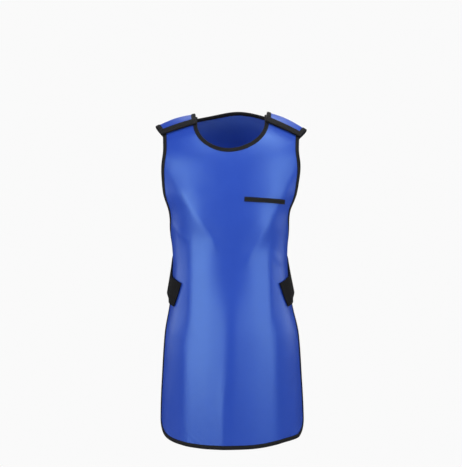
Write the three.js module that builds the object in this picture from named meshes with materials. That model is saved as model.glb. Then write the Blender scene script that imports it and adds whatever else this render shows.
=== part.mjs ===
// Lead x-ray apron in its worn form: a blue front panel hung from two shoulder flaps, a short back yoke,
// black edge tapes, a broad waist belt and the mouth band of one chest pocket.
// Millimetres. +Z is up, the front faces -Y and +X is the wearer's left.
// The origin lies midway between the shoulder tops, on the shoulder crest.
import * as THREE from "three";
import { mergeVertices } from "three/addons/utils/BufferGeometryUtils.js";

// Walls and clearances
const PANEL_WALL = 3.0;
const TAPE_WALL = 0.9;
const TAPE_WIDTH = 10;
// Share of a grid's width or height that is kept for one tape, before its places are set exactly.
const TAPE_SHARE = { panelSide: 0.09, panelHeight: 0.0125, flap: 0.1, yokeHeight: 0.04 };
const GAP = 0.3;
// Corners closer than MERGE are one corner. STEP is the small step that finds a surface's direction.
const MERGE = 1e-3;
const STEP = 0.05;

// Shoulder flaps
const FLAP_LIFT = 7;
const FLAP_FRONT = 66;
const FLAP_BACK = -28;
const FLAP_ROWS = 6;
const FLAP_COLUMNS = 4;
const BAND_WIDTH = 20;
const BAND_WALL = 1.2;

// Front panel
const TONGUE_TOP = 24;
const NECK_CENTRE = 62;
const NECK_HALF_WIDTH = 92;
const NECK_DEPTH = 86;
const NECK_TURN = 42;
const HEM_DOWN = 927;
const CORNER_WRAP = 44;
const CORNER_HEIGHT = 68;
const CORNER_TURN = 45;
const NECK_COLUMN_AT_HEM = 0.42;
const SIDE_COLUMNS = 6;
const NECK_COLUMNS = 10;
const BODY_ROWS = 31;
const TONGUE_ROWS = 5;
const ARMHOLE_BOTTOM = 350;
const FOLD_FADE_COSINE = 0.3;

// Back yoke
const YOKE_HEM = -285;
const YOKE_NECK_DIP = 8;
const YOKE_ROWS = 9;
const YOKE_NECK_COLUMNS = 6;

// Waist belt
const BELT_LIFT = 5.2;
const BELT_WALL = 2.2;
const BELT_TOP_END = 54;
const BELT_BOTTOM_END = 64.5;
const BELT_BACK = 180;
const BELT_STEPS = 22;
const BELT_ACROSS = 3;

// Pocket mouth
const POCKET_GAP = 0.8;
const POCKET_WALL = 1.2;
const POCKET_HEIGHT = 12;
const POCKET_STEPS = 8;

// Worn form. Each row is one level of the body that the apron lies on.
// down: cloth length from the shoulder crest, negative on the back. x, y, z: the level's front centre.
// halfWidth: half the level's width. depth: from the front centre to the widest point, negative on the back.
// slope: how fast the level falls from the neck to the arm.
const FORM = [
  { down: -290, x: 0, y: 112, z: -238, halfWidth: 215, depth: -75, slope: 0.03 },
  { down: -200, x: 0, y: 108, z: -150, halfWidth: 225, depth: -75, slope: 0.1 },
  { down: -120, x: 0, y: 92, z: -76, halfWidth: 239, depth: -70, slope: 0.22 },
  { down: -60, x: 0, y: 54, z: -27, halfWidth: 250, depth: -45, slope: 0.33 },
  { down: 0, x: 0, y: 0, z: 0, halfWidth: 255, depth: 0, slope: 0.37 },
  { down: 33, x: 0, y: -32, z: -8, halfWidth: 255, depth: 35, slope: 0.37 },
  { down: 63, x: 0, y: -57, z: -24, halfWidth: 250, depth: 65, slope: 0.36 },
  { down: 105, x: 0, y: -84, z: -56, halfWidth: 243, depth: 90, slope: 0.27 },
  { down: 161, x: 0, y: -105, z: -108, halfWidth: 228, depth: 105, slope: 0.15 },
  { down: 243, x: -3, y: -117, z: -190, halfWidth: 195, depth: 113, slope: 0.05 },
  { down: 290, x: -5, y: -119, z: -237, halfWidth: 170, depth: 115, slope: 0.02 },
  { down: 333, x: -4.5, y: -120, z: -280, halfWidth: 161, depth: 116, slope: 0 },
  { down: 424, x: -2.5, y: -117, z: -371, halfWidth: 154, depth: 113, slope: 0 },
  { down: 514, x: -1, y: -123, z: -461, halfWidth: 159, depth: 120, slope: 0 },
  { down: 560, x: 0, y: -127, z: -507, halfWidth: 166, depth: 128, slope: 0 },
  { down: 634, x: 2, y: -135, z: -580, halfWidth: 184, depth: 145, slope: 0 },
  { down: 780, x: 2.5, y: -144, z: -725, halfWidth: 195, depth: 168, slope: 0 },
  { down: 940, x: 4, y: -150, z: -885, halfWidth: 200, depth: 180, slope: 0 },
];
const ROUNDNESS = 1.15;
const SHOULDER_MIDDLE = 92;
const SHOULDER_SOFTENING = 60;
// The wearer's left shoulder falls more steeply than the right one, and both are full at the crest.
const SHOULDER_STEEPNESS = 1.135;
const SHOULDER_TILT = 0.205;
const SHOULDER_TILT_REACH = 50;
const CREST_HEIGHT = 5.5;
const CREST_AT = 150;
const CREST_REACH = 64;
const CREST_RUN = 38;

// Side edge of the front panel, armhole first: the angle round the body at each cloth length.
const PANEL_EDGE = [
  { down: 20, wrap: 48 },
  { down: 63, wrap: 47.2 },
  { down: 125, wrap: 49.5 },
  { down: 174, wrap: 56 },
  { down: 220, wrap: 62 },
  { down: 265, wrap: 67.8 },
  { down: 300, wrap: 71.5 },
  { down: 330, wrap: 77.5 },
  { down: 352, wrap: 87.5 },
  { down: 372, wrap: 95.5 },
  { down: 395, wrap: 98.5 },
  { down: 424, wrap: 99 },
  { down: 514, wrap: 95 },
  { down: 565, wrap: 85 },
  { down: 634, wrap: 77 },
  { down: 780, wrap: 74.5 },
  { down: 930, wrap: 73.5 },
];

// How far the hem rises above its lowest line, round the body.
const HEM = [
  { wrap: -61, rise: 0 },
  { wrap: -52, rise: 2.2 },
  { wrap: -42, rise: 4.5 },
  { wrap: -32, rise: 3 },
  { wrap: -20, rise: 0.6 },
  { wrap: 0, rise: 0.4 },
  { wrap: 14, rise: 1.2 },
  { wrap: 24, rise: 4 },
  { wrap: 34, rise: 8.5 },
  { wrap: 43, rise: 10 },
  { wrap: 52, rise: 6.5 },
  { wrap: 61, rise: 0 },
];

// Neck side and arm side of the shoulder flaps and the yoke.
const SHOULDER_EDGE = [
  { down: -290, neck: 17, arm: 49 },
  { down: -200, neck: 17, arm: 48 },
  { down: -130, neck: 17, arm: 46.5 },
  { down: -80, neck: 19, arm: 46.5 },
  { down: -28, neck: 22, arm: 51.5 },
  { down: 0, neck: 22.3, arm: 52.6 },
  { down: 30, neck: 22.2, arm: 49.8 },
  { down: 70, neck: 21.6, arm: 47.2 },
];

// Waist belt from its front end (share 0) to the middle of the back (share 1).
// top, bottom: cloth lengths of its two edges. flare: how far the lower edge stands off.
const BELT = [
  { share: 0, top: 491, bottom: 555, flare: 0.3 },
  { share: 0.15, top: 477, bottom: 547, flare: 1 },
  { share: 0.25, top: 466, bottom: 538, flare: 3 },
  { share: 0.36, top: 420, bottom: 521, flare: 17 },
  { share: 0.5, top: 402, bottom: 512, flare: 13 },
  { share: 0.7, top: 397, bottom: 505, flare: 4 },
  { share: 1, top: 395, bottom: 500, flare: 0 },
];

// Pocket mouth from its middle end to its arm end.
const POCKET = [
  { share: 0, wrap: 12.6, down: 269 },
  { share: 0.5, wrap: 31.8, down: 270.2 },
  { share: 1, wrap: 51.6, down: 269.6 },
];

// Main folds of the front panel: soft ridges along a line. The first two are the tension folds from the armholes.
// x, down: where the fold starts. toX, toDown: where it ends. width: half its breadth.
// height: how far it rises. fade: the length over which it rises at either end.
const FOLDS = [
  { x: -166, down: 190, toX: -60, toDown: 375, width: 44, height: 7, fade: 90 },
  { x: 168, down: 190, toX: 58, toDown: 405, width: 44, height: 7, fade: 90 },
  { x: -106, down: 350, toX: -108, toDown: 640, width: 15, height: 2.4, fade: 60 },
  { x: 98, down: 380, toX: 104, toDown: 620, width: 15, height: 2.4, fade: 60 },
  { x: 0, down: 440, toX: -10, toDown: 1150, width: 45, height: 5, fade: 150 },
  { x: 2, down: 480, toX: -16, toDown: 1150, width: 24, height: 1.8, fade: 150 },
  { x: -122, down: 560, toX: -120, toDown: 1150, width: 20, height: 3, fade: 130 },
  { x: 112, down: 560, toX: 122, toDown: 1150, width: 22, height: 2.2, fade: 150 },
  { x: -172, down: 720, toX: -176, toDown: 1150, width: 17, height: 2.5, fade: 120 },
  { x: 178, down: 720, toX: 180, toDown: 1150, width: 17, height: 2.5, fade: 120 },
];

const BLUE = { color: 0x3f60c8, roughness: 0.45, metalness: 0 };
const BLACK = { color: 0x1b1b1f, roughness: 0.75, metalness: 0 };
const ELASTIC = { color: 0x17171a, roughness: 0.85, metalness: 0 };

// A smooth curve through one column of a table.
function curve(rows, at, key) {
  const tangents = rows.map((row, index) => {
    const before = rows[Math.max(index - 1, 0)];
    const after = rows[Math.min(index + 1, rows.length - 1)];
    return (after[key] - before[key]) / (after[at] - before[at]);
  });
  return (value) => {
    let index = rows.findIndex((row) => row[at] > value) - 1;
    if (index < 0) index = value < rows[0][at] ? 0 : rows.length - 2;
    const span = rows[index + 1][at] - rows[index][at];
    const t = THREE.MathUtils.clamp((value - rows[index][at]) / span, 0, 1);
    const start = rows[index][key];
    const end = rows[index + 1][key];
    const rise = end - start;
    const bendStart = tangents[index] * span - rise;
    const bendEnd = rise - tangents[index + 1] * span;
    return start + t * rise + t * (1 - t) * (bendStart * (1 - t) + bendEnd * t);
  };
}

const form = {
  x: curve(FORM, "down", "x"),
  y: curve(FORM, "down", "y"),
  z: curve(FORM, "down", "z"),
  halfWidth: curve(FORM, "down", "halfWidth"),
  depth: curve(FORM, "down", "depth"),
  slope: curve(FORM, "down", "slope"),
};
const panelEdge = curve(PANEL_EDGE, "down", "wrap");
const hemRise = curve(HEM, "wrap", "rise");
const neckEdge = curve(SHOULDER_EDGE, "down", "neck");
const armEdge = curve(SHOULDER_EDGE, "down", "arm");

const radians = THREE.MathUtils.degToRad;
const degrees = THREE.MathUtils.radToDeg;
const mix = THREE.MathUtils.lerp;

// The angle round the body at a distance to the side of a level's centre.
function wrapAt(aside, down) {
  return degrees(Math.asin(aside / form.halfWidth(down)));
}

// A point of the worn form.
function formPoint(wrap, down) {
  const angle = radians(wrap);
  const turn = 1 - Math.cos(angle);
  const back = turn < 1 ? turn ** ROUNDNESS : 1 + ROUNDNESS * (turn - 1);
  const x = form.x(down) + form.halfWidth(down) * Math.sin(angle);
  const away = Math.hypot(x, SHOULDER_SOFTENING) - SHOULDER_SOFTENING;
  const steepness = SHOULDER_STEEPNESS + SHOULDER_TILT * Math.tanh(x / SHOULDER_TILT_REACH);
  const beside = Math.max(0, 1 - ((Math.abs(x) - CREST_AT) / CREST_REACH) ** 2);
  const crest = CREST_HEIGHT * beside ** 2 * Math.exp(-((down / CREST_RUN) ** 2));
  const z = form.z(down) - form.slope(down) * steepness * (away - SHOULDER_MIDDLE) + crest;
  return new THREE.Vector3(x, form.y(down) + form.depth(down) * back, z);
}

// How far the folds lift the front panel at a point.
function foldHeight(x, down) {
  let height = 0;
  for (const fold of FOLDS) {
    const run = new THREE.Vector2(fold.toX - fold.x, fold.toDown - fold.down);
    const offset = new THREE.Vector2(x - fold.x, down - fold.down);
    const length = run.length();
    const along = THREE.MathUtils.clamp(offset.dot(run) / length ** 2, 0, 1);
    const distance = offset.sub(run.multiplyScalar(along)).length() / fold.width;
    const fadeIn = THREE.MathUtils.smoothstep(along * length, 0, fold.fade);
    const fadeOut = THREE.MathUtils.smoothstep((1 - along) * length, 0, fold.fade);
    height += fold.height * Math.exp(-distance * distance) * fadeIn * fadeOut;
  }
  return height;
}

// The outward direction of a surface at a point, from two small steps on it.
function outward(surface, wrap, down) {
  const round = surface(wrap + STEP, down).sub(surface(wrap - STEP, down));
  const fall = surface(wrap, down + STEP).sub(surface(wrap, down - STEP));
  return fall.cross(round).normalize();
}

// The cloth's inner face on the form, with the front's folds, which die out towards the sides.
function cloth(wrap, down) {
  const point = formPoint(wrap, down);
  const front = THREE.MathUtils.smoothstep(Math.cos(radians(wrap)), 0, FOLD_FADE_COSINE);
  if (down <= 0 || front === 0) return point;
  const height = foldHeight(point.x, down) * front;
  return point.addScaledVector(outward(formPoint, wrap, down), height);
}

// A point at a height above the cloth's inner face.
function lifted({ wrap, down }, lift) {
  return cloth(wrap, down).addScaledVector(outward(cloth, wrap, down), lift);
}

// How the cloth runs round the body, per degree.
function across({ wrap, down }) {
  return cloth(wrap + STEP, down).sub(cloth(wrap - STEP, down)).divideScalar(2 * STEP);
}

// How the cloth runs down the body, per millimetre.
function along({ wrap, down }) {
  return cloth(wrap, down + STEP).sub(cloth(wrap, down - STEP)).divideScalar(2 * STEP);
}

// A cloth place moved by a vector that lies along the cloth.
function moved(place, vector) {
  const round = across(place);
  const fall = along(place);
  const mixed = round.dot(fall);
  const scale = round.lengthSq() * fall.lengthSq() - mixed * mixed;
  const byRound = vector.dot(round);
  const byFall = vector.dot(fall);
  return {
    wrap: place.wrap + (byRound * fall.lengthSq() - byFall * mixed) / scale,
    down: place.down + (byFall * round.lengthSq() - byRound * mixed) / scale,
  };
}

// A grid of places on the cloth. Columns run round the body, rows run up the front and down the back.
class Grid {
  constructor(columns, rows, place, holds = () => true) {
    this.columns = columns;
    this.rows = rows;
    this.places = new Map();
    this.cells = [];
    this.diagonals = new Set();
    for (let row = 0; row <= rows; row++)
      for (let column = 0; column <= columns; column++)
        if (holds(column, row)) this.places.set(this.key(column, row), place(column, row));
    for (let row = 0; row < rows; row++)
      for (let column = 0; column < columns; column++) this.addCell(column, row);
  }

  addCell(column, row) {
    const corners = [
      [column, row],
      [column + 1, row],
      [column + 1, row + 1],
      [column, row + 1],
    ].map(([c, r]) => this.key(c, r));
    if (corners.every((corner) => this.places.has(corner))) this.cells.push(corners);
  }

  key(column, row) {
    return column + "," + row;
  }

  at(column, row) {
    return this.places.get(this.key(column, row));
  }

  // The two triangles of a cell. Cells under a tape are cut along the same diagonal as the tape.
  halves([a, b, c, d]) {
    const other = this.diagonals.has(b + "|" + d) || this.diagonals.has(d + "|" + b);
    return other ? [[a, b, d], [b, c, d]] : [[a, b, c], [a, c, d]];
  }

  // Notes the diagonals of a tape that covers an edge list.
  underTape(list) {
    for (let i = 0; i + 1 < list.length; i++) {
      const edge = this.key(list[i][0], list[i][1]);
      const cover = this.key(list[i + 1][2], list[i + 1][3]);
      this.diagonals.add(edge + "|" + cover);
    }
  }

  // The direction into the cloth at an edge place, between its neighbours along the edge.
  // A corner gives the longer vector that keeps the same distance from both edges.
  inward(before, here, after) {
    const point = lifted(here, 0);
    const normal = outward(cloth, here.wrap, here.down);
    const inwards = [];
    if (before) inwards.push(normal.clone().cross(point.clone().sub(lifted(before, 0))).normalize());
    if (after) inwards.push(normal.clone().cross(lifted(after, 0).sub(point)).normalize());
    if (inwards.length === 1) return inwards[0];
    return inwards[0].clone().add(inwards[1]).divideScalar(1 + inwards[0].dot(inwards[1]));
  }
}

// A closed solid from triangles given as three points each.
function solid(triangles) {
  const geometry = new THREE.BufferGeometry();
  geometry.setFromPoints(triangles.flat());
  const merged = mergeVertices(geometry, MERGE);
  const index = merged.index.array;
  const kept = [];
  for (let i = 0; i < index.length; i += 3) {
    const [a, b, c] = [index[i], index[i + 1], index[i + 2]];
    if (a !== b && b !== c && c !== a) kept.push(a, b, c);
  }
  merged.setIndex(kept);
  const open = merged.toNonIndexed();
  open.computeVertexNormals();
  return open;
}

// The two triangles of a four-cornered face.
function quad(a, b, c, d) {
  return [
    [a, b, c],
    [a, c, d],
  ];
}

// A wall of cloth on a grid, between two heights above the form.
function wall(grid, inner, outer, extra = () => 0) {
  const low = new Map();
  const high = new Map();
  for (const [key, place] of grid.places) {
    low.set(key, lifted(place, inner + extra(place)));
    high.set(key, lifted(place, outer + extra(place)));
  }
  const triangles = [];
  const edges = new Map();
  for (const corners of grid.cells) {
    for (const triangle of grid.halves(corners)) {
      triangles.push(triangle.map((key) => high.get(key)));
      triangles.push(triangle.map((key) => low.get(key)).reverse());
    }
    corners.forEach((from, index) => {
      const to = corners[(index + 1) % 4];
      if (edges.has(to + "|" + from)) edges.delete(to + "|" + from);
      else edges.set(from + "|" + to, [from, to]);
    });
  }
  for (const [from, to] of edges.values())
    triangles.push(...quad(low.get(from), low.get(to), high.get(to), high.get(from)));
  return solid(triangles);
}

// One station of an edge tape: the eight corners of a folded strip, from its place on the edge,
// its place on the cloth and the way into the cloth.
function tapeSection({ edge, cover, inward }, inner, outer, thickness) {
  const normal = outward(cloth, edge.wrap, edge.down);
  const base = cloth(edge.wrap, edge.down);
  const far = GAP + thickness;
  const rim = (out, lift) => base.clone().addScaledVector(inward, -out).addScaledVector(normal, lift);
  return [
    lifted(cover, outer + far),
    rim(far, outer + far),
    rim(far, inner - far),
    lifted(cover, inner - far),
    lifted(cover, inner - GAP),
    rim(GAP, inner - GAP),
    rim(GAP, outer + GAP),
    lifted(cover, outer + GAP),
  ];
}

// Tape folded over an edge: its stations run with the cloth on their left.
function tape(stations, inner, outer, thickness) {
  const sections = stations.map((station) => tapeSection(station, inner, outer, thickness));
  const triangles = [];
  const count = sections[0].length;
  for (let i = 0; i + 1 < sections.length; i++)
    for (let k = 0; k < count; k++) {
      const next = (k + 1) % count;
      const [here, there] = [sections[i], sections[i + 1]];
      const towardsRim = k === 0 || k === 4;
      if (towardsRim) triangles.push(...quad(here[next], there[next], there[k], here[k]));
      else triangles.push(...quad(here[k], here[next], there[next], there[k]));
    }
  const leaves = [
    [0, 1, 6, 7],
    [1, 2, 5, 6],
    [2, 3, 4, 5],
  ];
  const [first, last] = [sections[0], sections[sections.length - 1]];
  for (const leaf of leaves) {
    const ends = leaf.map((k) => last[k]);
    triangles.push(...quad(...ends));
    const starts = leaf.map((k) => first[k]).reverse();
    triangles.push(...quad(...starts));
  }
  return solid(triangles);
}

// A station moved a small way towards its neighbour, so that two tapes keep a gap where they meet.
function shortened(station, neighbour, length) {
  const towards = (from, to) => {
    const vector = cloth(to.wrap, to.down).sub(cloth(from.wrap, from.down));
    return vector.lengthSq() > 0 ? moved(from, vector.setLength(length)) : from;
  };
  return {
    edge: towards(station.edge, neighbour.edge),
    cover: towards(station.cover, neighbour.cover),
    inward: station.inward,
  };
}

// Stations along a list of edge places of a grid: [edge column, edge row, cover column, cover row].
// Places before and after the list are given where the edge goes on past its ends.
function stationsAlong(grid, list, before, after) {
  const edges = list.map(([column, row]) => grid.at(column, row));
  const differs = (a, b) => a.wrap !== b.wrap || a.down !== b.down;
  return list.map(([, , column, row], index) => {
    const edge = edges[index];
    const earlier = edges.slice(0, index).reverse().find((other) => differs(other, edge)) ?? before;
    const later = edges.slice(index + 1).find((other) => differs(other, edge)) ?? after;
    return { edge, cover: grid.at(column, row), inward: grid.inward(earlier, edge, later) };
  });
}

// Stations cut short by a gap at either end.
function trimmed(stations, startGap, endGap) {
  const result = [...stations];
  const last = result.length - 1;
  if (startGap) result[0] = shortened(stations[0], stations[1], startGap);
  if (endGap) result[last] = shortened(stations[last], stations[last - 1], endGap);
  return result;
}

// Front panel grid
const neckTurn = radians(NECK_TURN);
const NECK_JOINT_X = NECK_HALF_WIDTH * Math.cos(neckTurn);
const NECK_JOINT_DOWN = NECK_CENTRE + NECK_DEPTH * Math.sin(neckTurn);
const CORNER_START = HEM_DOWN - CORNER_HEIGHT;

// The panel's side edge, with the rounded lower corner.
function sideWrap(down) {
  const into = THREE.MathUtils.clamp((down - CORNER_START) / CORNER_HEIGHT, 0, 1);
  return panelEdge(down) - CORNER_WRAP * (1 - Math.sqrt(1 - into * into));
}

const CORNER_DOWN = CORNER_START + CORNER_HEIGHT * Math.sin(radians(CORNER_TURN));
const CORNER_EDGE = sideWrap(CORNER_DOWN);

// The hem's cloth length at an angle round the body, with its rise and the rounded corners.
function hemDown(wrap) {
  const size = Math.abs(wrap);
  const into = size - (panelEdge(CORNER_DOWN) - CORNER_WRAP);
  const share = THREE.MathUtils.clamp(into / CORNER_WRAP, 0, 1);
  return HEM_DOWN - hemRise(wrap) - CORNER_HEIGHT * (1 - Math.sqrt(1 - share * share));
}

// The column that follows the side of the neckline and goes on down to the hem.
function neckColumn(down) {
  if (down <= NECK_CENTRE) return wrapAt(NECK_HALF_WIDTH, down);
  const drop = (down - NECK_CENTRE) / NECK_DEPTH;
  if (down <= NECK_JOINT_DOWN) return wrapAt(NECK_HALF_WIDTH * Math.sqrt(1 - drop * drop), down);
  const share = (down - NECK_JOINT_DOWN) / (HEM_DOWN - NECK_JOINT_DOWN);
  return mix(wrapAt(NECK_JOINT_X, NECK_JOINT_DOWN), NECK_COLUMN_AT_HEM * CORNER_EDGE, Math.sqrt(share));
}

function neckDown(wrap) {
  const x = form.halfWidth(NECK_JOINT_DOWN) * Math.sin(radians(wrap));
  const share = Math.min(Math.abs(x) / NECK_HALF_WIDTH, 1);
  return Math.min(NECK_CENTRE + NECK_DEPTH * Math.sqrt(1 - share * share), NECK_CENTRE + NECK_DEPTH);
}

// Even steps from 0 to 1 with one narrow step for the tape at either end.
function taped(count, narrow) {
  const steps = [0];
  for (let i = 0; i <= count; i++) steps.push(mix(narrow, 1 - narrow, i / count));
  return [...steps, 1];
}

const sideShares = taped(SIDE_COLUMNS, TAPE_SHARE.panelSide);
const bodyShares = taped(BODY_ROWS, TAPE_SHARE.panelHeight);
const SIDE_STEPS = sideShares.length - 1;
const COLUMNS = 2 * SIDE_STEPS + NECK_COLUMNS;
const NECK_LEFT = SIDE_STEPS;
const NECK_RIGHT = SIDE_STEPS + NECK_COLUMNS;
const NECK_ROW = bodyShares.length - 1;
const ROWS = NECK_ROW + TONGUE_ROWS;

// Where a column lies at a cloth length: between the middle, the neck column and the side edge.
function columnWrap(column, down) {
  const mirrored = column > COLUMNS / 2 ? COLUMNS - column : column;
  const side = column > COLUMNS / 2 ? 1 : -1;
  if (mirrored <= SIDE_STEPS)
    return side * mix(sideWrap(down), neckColumn(down), sideShares[mirrored]);
  const share = 1 - (mirrored - SIDE_STEPS) / (NECK_COLUMNS / 2);
  return side * share * neckColumn(down);
}

// The cloth lengths that a column spans below the neckline.
function columnEnds(column) {
  const wrapLow = columnWrap(column, CORNER_DOWN);
  const wrapHigh = columnWrap(column, NECK_JOINT_DOWN);
  const inNeck = column > NECK_LEFT && column < NECK_RIGHT;
  return { low: hemDown(wrapLow), high: inNeck ? neckDown(wrapHigh) : NECK_JOINT_DOWN };
}

function panelPlace(column, row) {
  if (row > NECK_ROW) {
    const down = mix(NECK_JOINT_DOWN, TONGUE_TOP, (row - NECK_ROW) / TONGUE_ROWS);
    return { wrap: columnWrap(column, down), down };
  }
  const { low, high } = columnEnds(column);
  const down = mix(low, high, bodyShares[row]);
  if (row === 0) return { wrap: columnWrap(column, CORNER_DOWN), down };
  if (row === NECK_ROW) return { wrap: columnWrap(column, NECK_JOINT_DOWN), down };
  return { wrap: columnWrap(column, Math.min(down, CORNER_DOWN)), down };
}

function inNeckHole(column, row) {
  return row > NECK_ROW && column > NECK_LEFT && column < NECK_RIGHT;
}

const panel = new Grid(COLUMNS, ROWS, panelPlace, (column, row) => !inNeckHole(column, row));

// Edge lists of the front panel, each with the cloth on its left.
const rightSide = [];
for (let row = 0; row <= ROWS; row++) rightSide.push([COLUMNS, row, COLUMNS - 1, Math.max(row, 1)]);
const leftSide = [];
for (let row = ROWS; row >= 0; row--) leftSide.push([0, row, 1, Math.max(row, 1)]);
const hem = [];
for (let column = 0; column <= COLUMNS; column++)
  hem.push([column, 0, THREE.MathUtils.clamp(column, 1, COLUMNS - 1), 1]);
const neckline = [];
for (let row = ROWS; row >= NECK_ROW; row--) neckline.push([NECK_RIGHT, row, NECK_RIGHT + 1, row]);
neckline.push([NECK_RIGHT, NECK_ROW, NECK_RIGHT + 1, NECK_ROW - 1]);
for (let column = NECK_RIGHT; column >= NECK_LEFT; column--)
  neckline.push([column, NECK_ROW, column, NECK_ROW - 1]);
neckline.push([NECK_LEFT, NECK_ROW, NECK_LEFT - 1, NECK_ROW - 1]);
for (let row = NECK_ROW; row <= ROWS; row++) neckline.push([NECK_LEFT, row, NECK_LEFT - 1, row]);

// Puts the covered places of an edge list one tape width inside the edge.
// At either end of the list the covered place stays on its row.
function insetAlong(grid, list, width) {
  const loop = list.map(([column, row]) => grid.at(column, row));
  list.forEach(([edgeColumn, edgeRow, column, row], index) => {
    const here = loop[index];
    if (index === 0 || index === list.length - 1) {
      const alongRow = across(here).setLength(width * Math.sign(column - edgeColumn));
      grid.places.set(grid.key(column, row), { ...moved(here, alongRow), down: here.down });
      return;
    }
    const [first, last] = [loop[index - 1] !== here, loop[index + 1] !== here];
    const before = loop.slice(0, index).reverse().find((other) => other !== here);
    const after = loop.slice(index + 1).find((other) => other !== here);
    const way = grid.inward(first || !last ? before : null, here, last || !first ? after : null);
    grid.places.set(grid.key(column, row), moved(here, way.multiplyScalar(width)));
  });
  grid.underTape(list);
}

insetAlong(panel, [...leftSide, ...hem.slice(1), ...rightSide.slice(1)], TAPE_WIDTH);
insetAlong(panel, neckline, TAPE_WIDTH);

// Shoulder flap grid, on one side of the body (side 1 is the wearer's left).
const flapShares = taped(FLAP_COLUMNS, TAPE_SHARE.flap);
const FLAP_LAST = flapShares.length - 1;

function flapGrid(side) {
  const place = (column, row) => {
    const rear = mix(FLAP_FRONT - BAND_WIDTH, FLAP_BACK, (row - 1) / FLAP_ROWS);
    const down = row === 0 ? FLAP_FRONT : rear;
    const share = side > 0 ? flapShares[column] : 1 - flapShares[column];
    return { wrap: side * mix(neckEdge(down), armEdge(down), share), down };
  };
  return new Grid(FLAP_LAST, FLAP_ROWS + 1, place);
}

// The two side edges of a flap behind its band, and its banded end.
function flapEdges(grid) {
  const low = [];
  const high = [];
  for (let row = 1; row <= grid.rows; row++) high.push([grid.columns, row, grid.columns - 1, row]);
  for (let row = grid.rows; row >= 1; row--) low.push([0, row, 1, row]);
  const end = [[0, 1, 0, 1]];
  for (let column = 0; column <= grid.columns; column++) end.push([column, 0, column, 1]);
  end.push([grid.columns, 1, grid.columns, 1]);
  return { low, high, end };
}

// Back yoke grid: columns run between the arm edges, with one column at either end of the neckline.
const YOKE_SIDE = FLAP_LAST;
const YOKE_COLUMNS = 2 * YOKE_SIDE + YOKE_NECK_COLUMNS;
const YOKE_NECK_LEFT = YOKE_SIDE;
const YOKE_NECK_RIGHT = YOKE_COLUMNS - YOKE_SIDE;
const YOKE_TOP = FLAP_BACK - 2 * GAP;

function yokeWrap(column, down) {
  const mirrored = column > YOKE_COLUMNS / 2 ? YOKE_COLUMNS - column : column;
  const side = column > YOKE_COLUMNS / 2 ? 1 : -1;
  if (mirrored <= YOKE_SIDE) return side * mix(armEdge(down), neckEdge(down), flapShares[mirrored]);
  return side * neckEdge(down) * (1 - (mirrored - YOKE_SIDE) / (YOKE_COLUMNS / 2 - YOKE_SIDE));
}

const yokeShares = taped(YOKE_ROWS, TAPE_SHARE.yokeHeight);

function yokePlace(column, row) {
  const wrap = yokeWrap(column, YOKE_TOP);
  const share = Math.min(Math.abs(wrap) / neckEdge(YOKE_TOP), 1);
  const top = YOKE_TOP - YOKE_NECK_DIP * (1 - share * share);
  const down = mix(top, YOKE_HEM, yokeShares[row]);
  return { wrap: yokeWrap(column, down), down };
}

const yoke = new Grid(YOKE_COLUMNS, yokeShares.length - 1, yokePlace);
const yokeNeck = [[YOKE_NECK_LEFT, 0, YOKE_NECK_LEFT - 1, 0]];
yokeNeck.push([YOKE_NECK_LEFT, 0, YOKE_NECK_LEFT - 1, 1]);
for (let column = YOKE_NECK_LEFT; column <= YOKE_NECK_RIGHT; column++)
  yokeNeck.push([column, 0, column, 1]);
yokeNeck.push([YOKE_NECK_RIGHT, 0, YOKE_NECK_RIGHT + 1, 1]);
yokeNeck.push([YOKE_NECK_RIGHT, 0, YOKE_NECK_RIGHT + 1, 0]);
const yokeRound = [];
for (let row = 0; row <= yoke.rows; row++)
  yokeRound.push([yoke.columns, row, yoke.columns - 1, Math.min(row, yoke.rows - 1)]);
for (let column = yoke.columns - 1; column >= 0; column--)
  yokeRound.push([column, yoke.rows, THREE.MathUtils.clamp(column, 1, yoke.columns - 1), yoke.rows - 1]);
for (let row = yoke.rows - 1; row >= 0; row--)
  yokeRound.push([0, row, 1, Math.min(row, yoke.rows - 1)]);
insetAlong(yoke, yokeRound, TAPE_WIDTH);
insetAlong(yoke, yokeNeck, TAPE_WIDTH);

// Waist belt grid, from the wearer's left end round the back to the right end.
const beltTop = curve(BELT, "share", "top");
const beltBottom = curve(BELT, "share", "bottom");
const beltFlare = curve(BELT, "share", "flare");

function beltShare(column) {
  const share = column / BELT_STEPS;
  return share > 1 ? 2 - share : share;
}

function beltPlace(column, row) {
  const share = beltShare(column);
  const across = row / BELT_ACROSS;
  const end = mix(BELT_BOTTOM_END, BELT_TOP_END, across);
  const wrap = mix(end, BELT_BACK, share);
  const down = mix(beltBottom(share), beltTop(share), across);
  const flare = beltFlare(share) * (1 - across);
  return { wrap: column > BELT_STEPS ? 2 * BELT_BACK - wrap : wrap, down, flare };
}

const belt = new Grid(2 * BELT_STEPS, BELT_ACROSS, beltPlace);

// Pocket mouth grid, with ends that are straight up and down
const pocketWrap = curve(POCKET, "share", "wrap");
const pocketDown = curve(POCKET, "share", "down");
const pocket = new Grid(POCKET_STEPS, 1, (column, row) => {
  const share = column / POCKET_STEPS;
  const middle = pocketDown(share);
  const aside = form.halfWidth(middle) * Math.sin(radians(pocketWrap(share)));
  const down = middle + POCKET_HEIGHT * (0.5 - row);
  return { wrap: wrapAt(aside, down), down };
});

const apron = new THREE.Group();
apron.name = "lead_xray_apron";

function add(name, geometry, finish) {
  const mesh = new THREE.Mesh(geometry, new THREE.MeshStandardMaterial(finish));
  mesh.name = name;
  apron.add(mesh);
}

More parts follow.
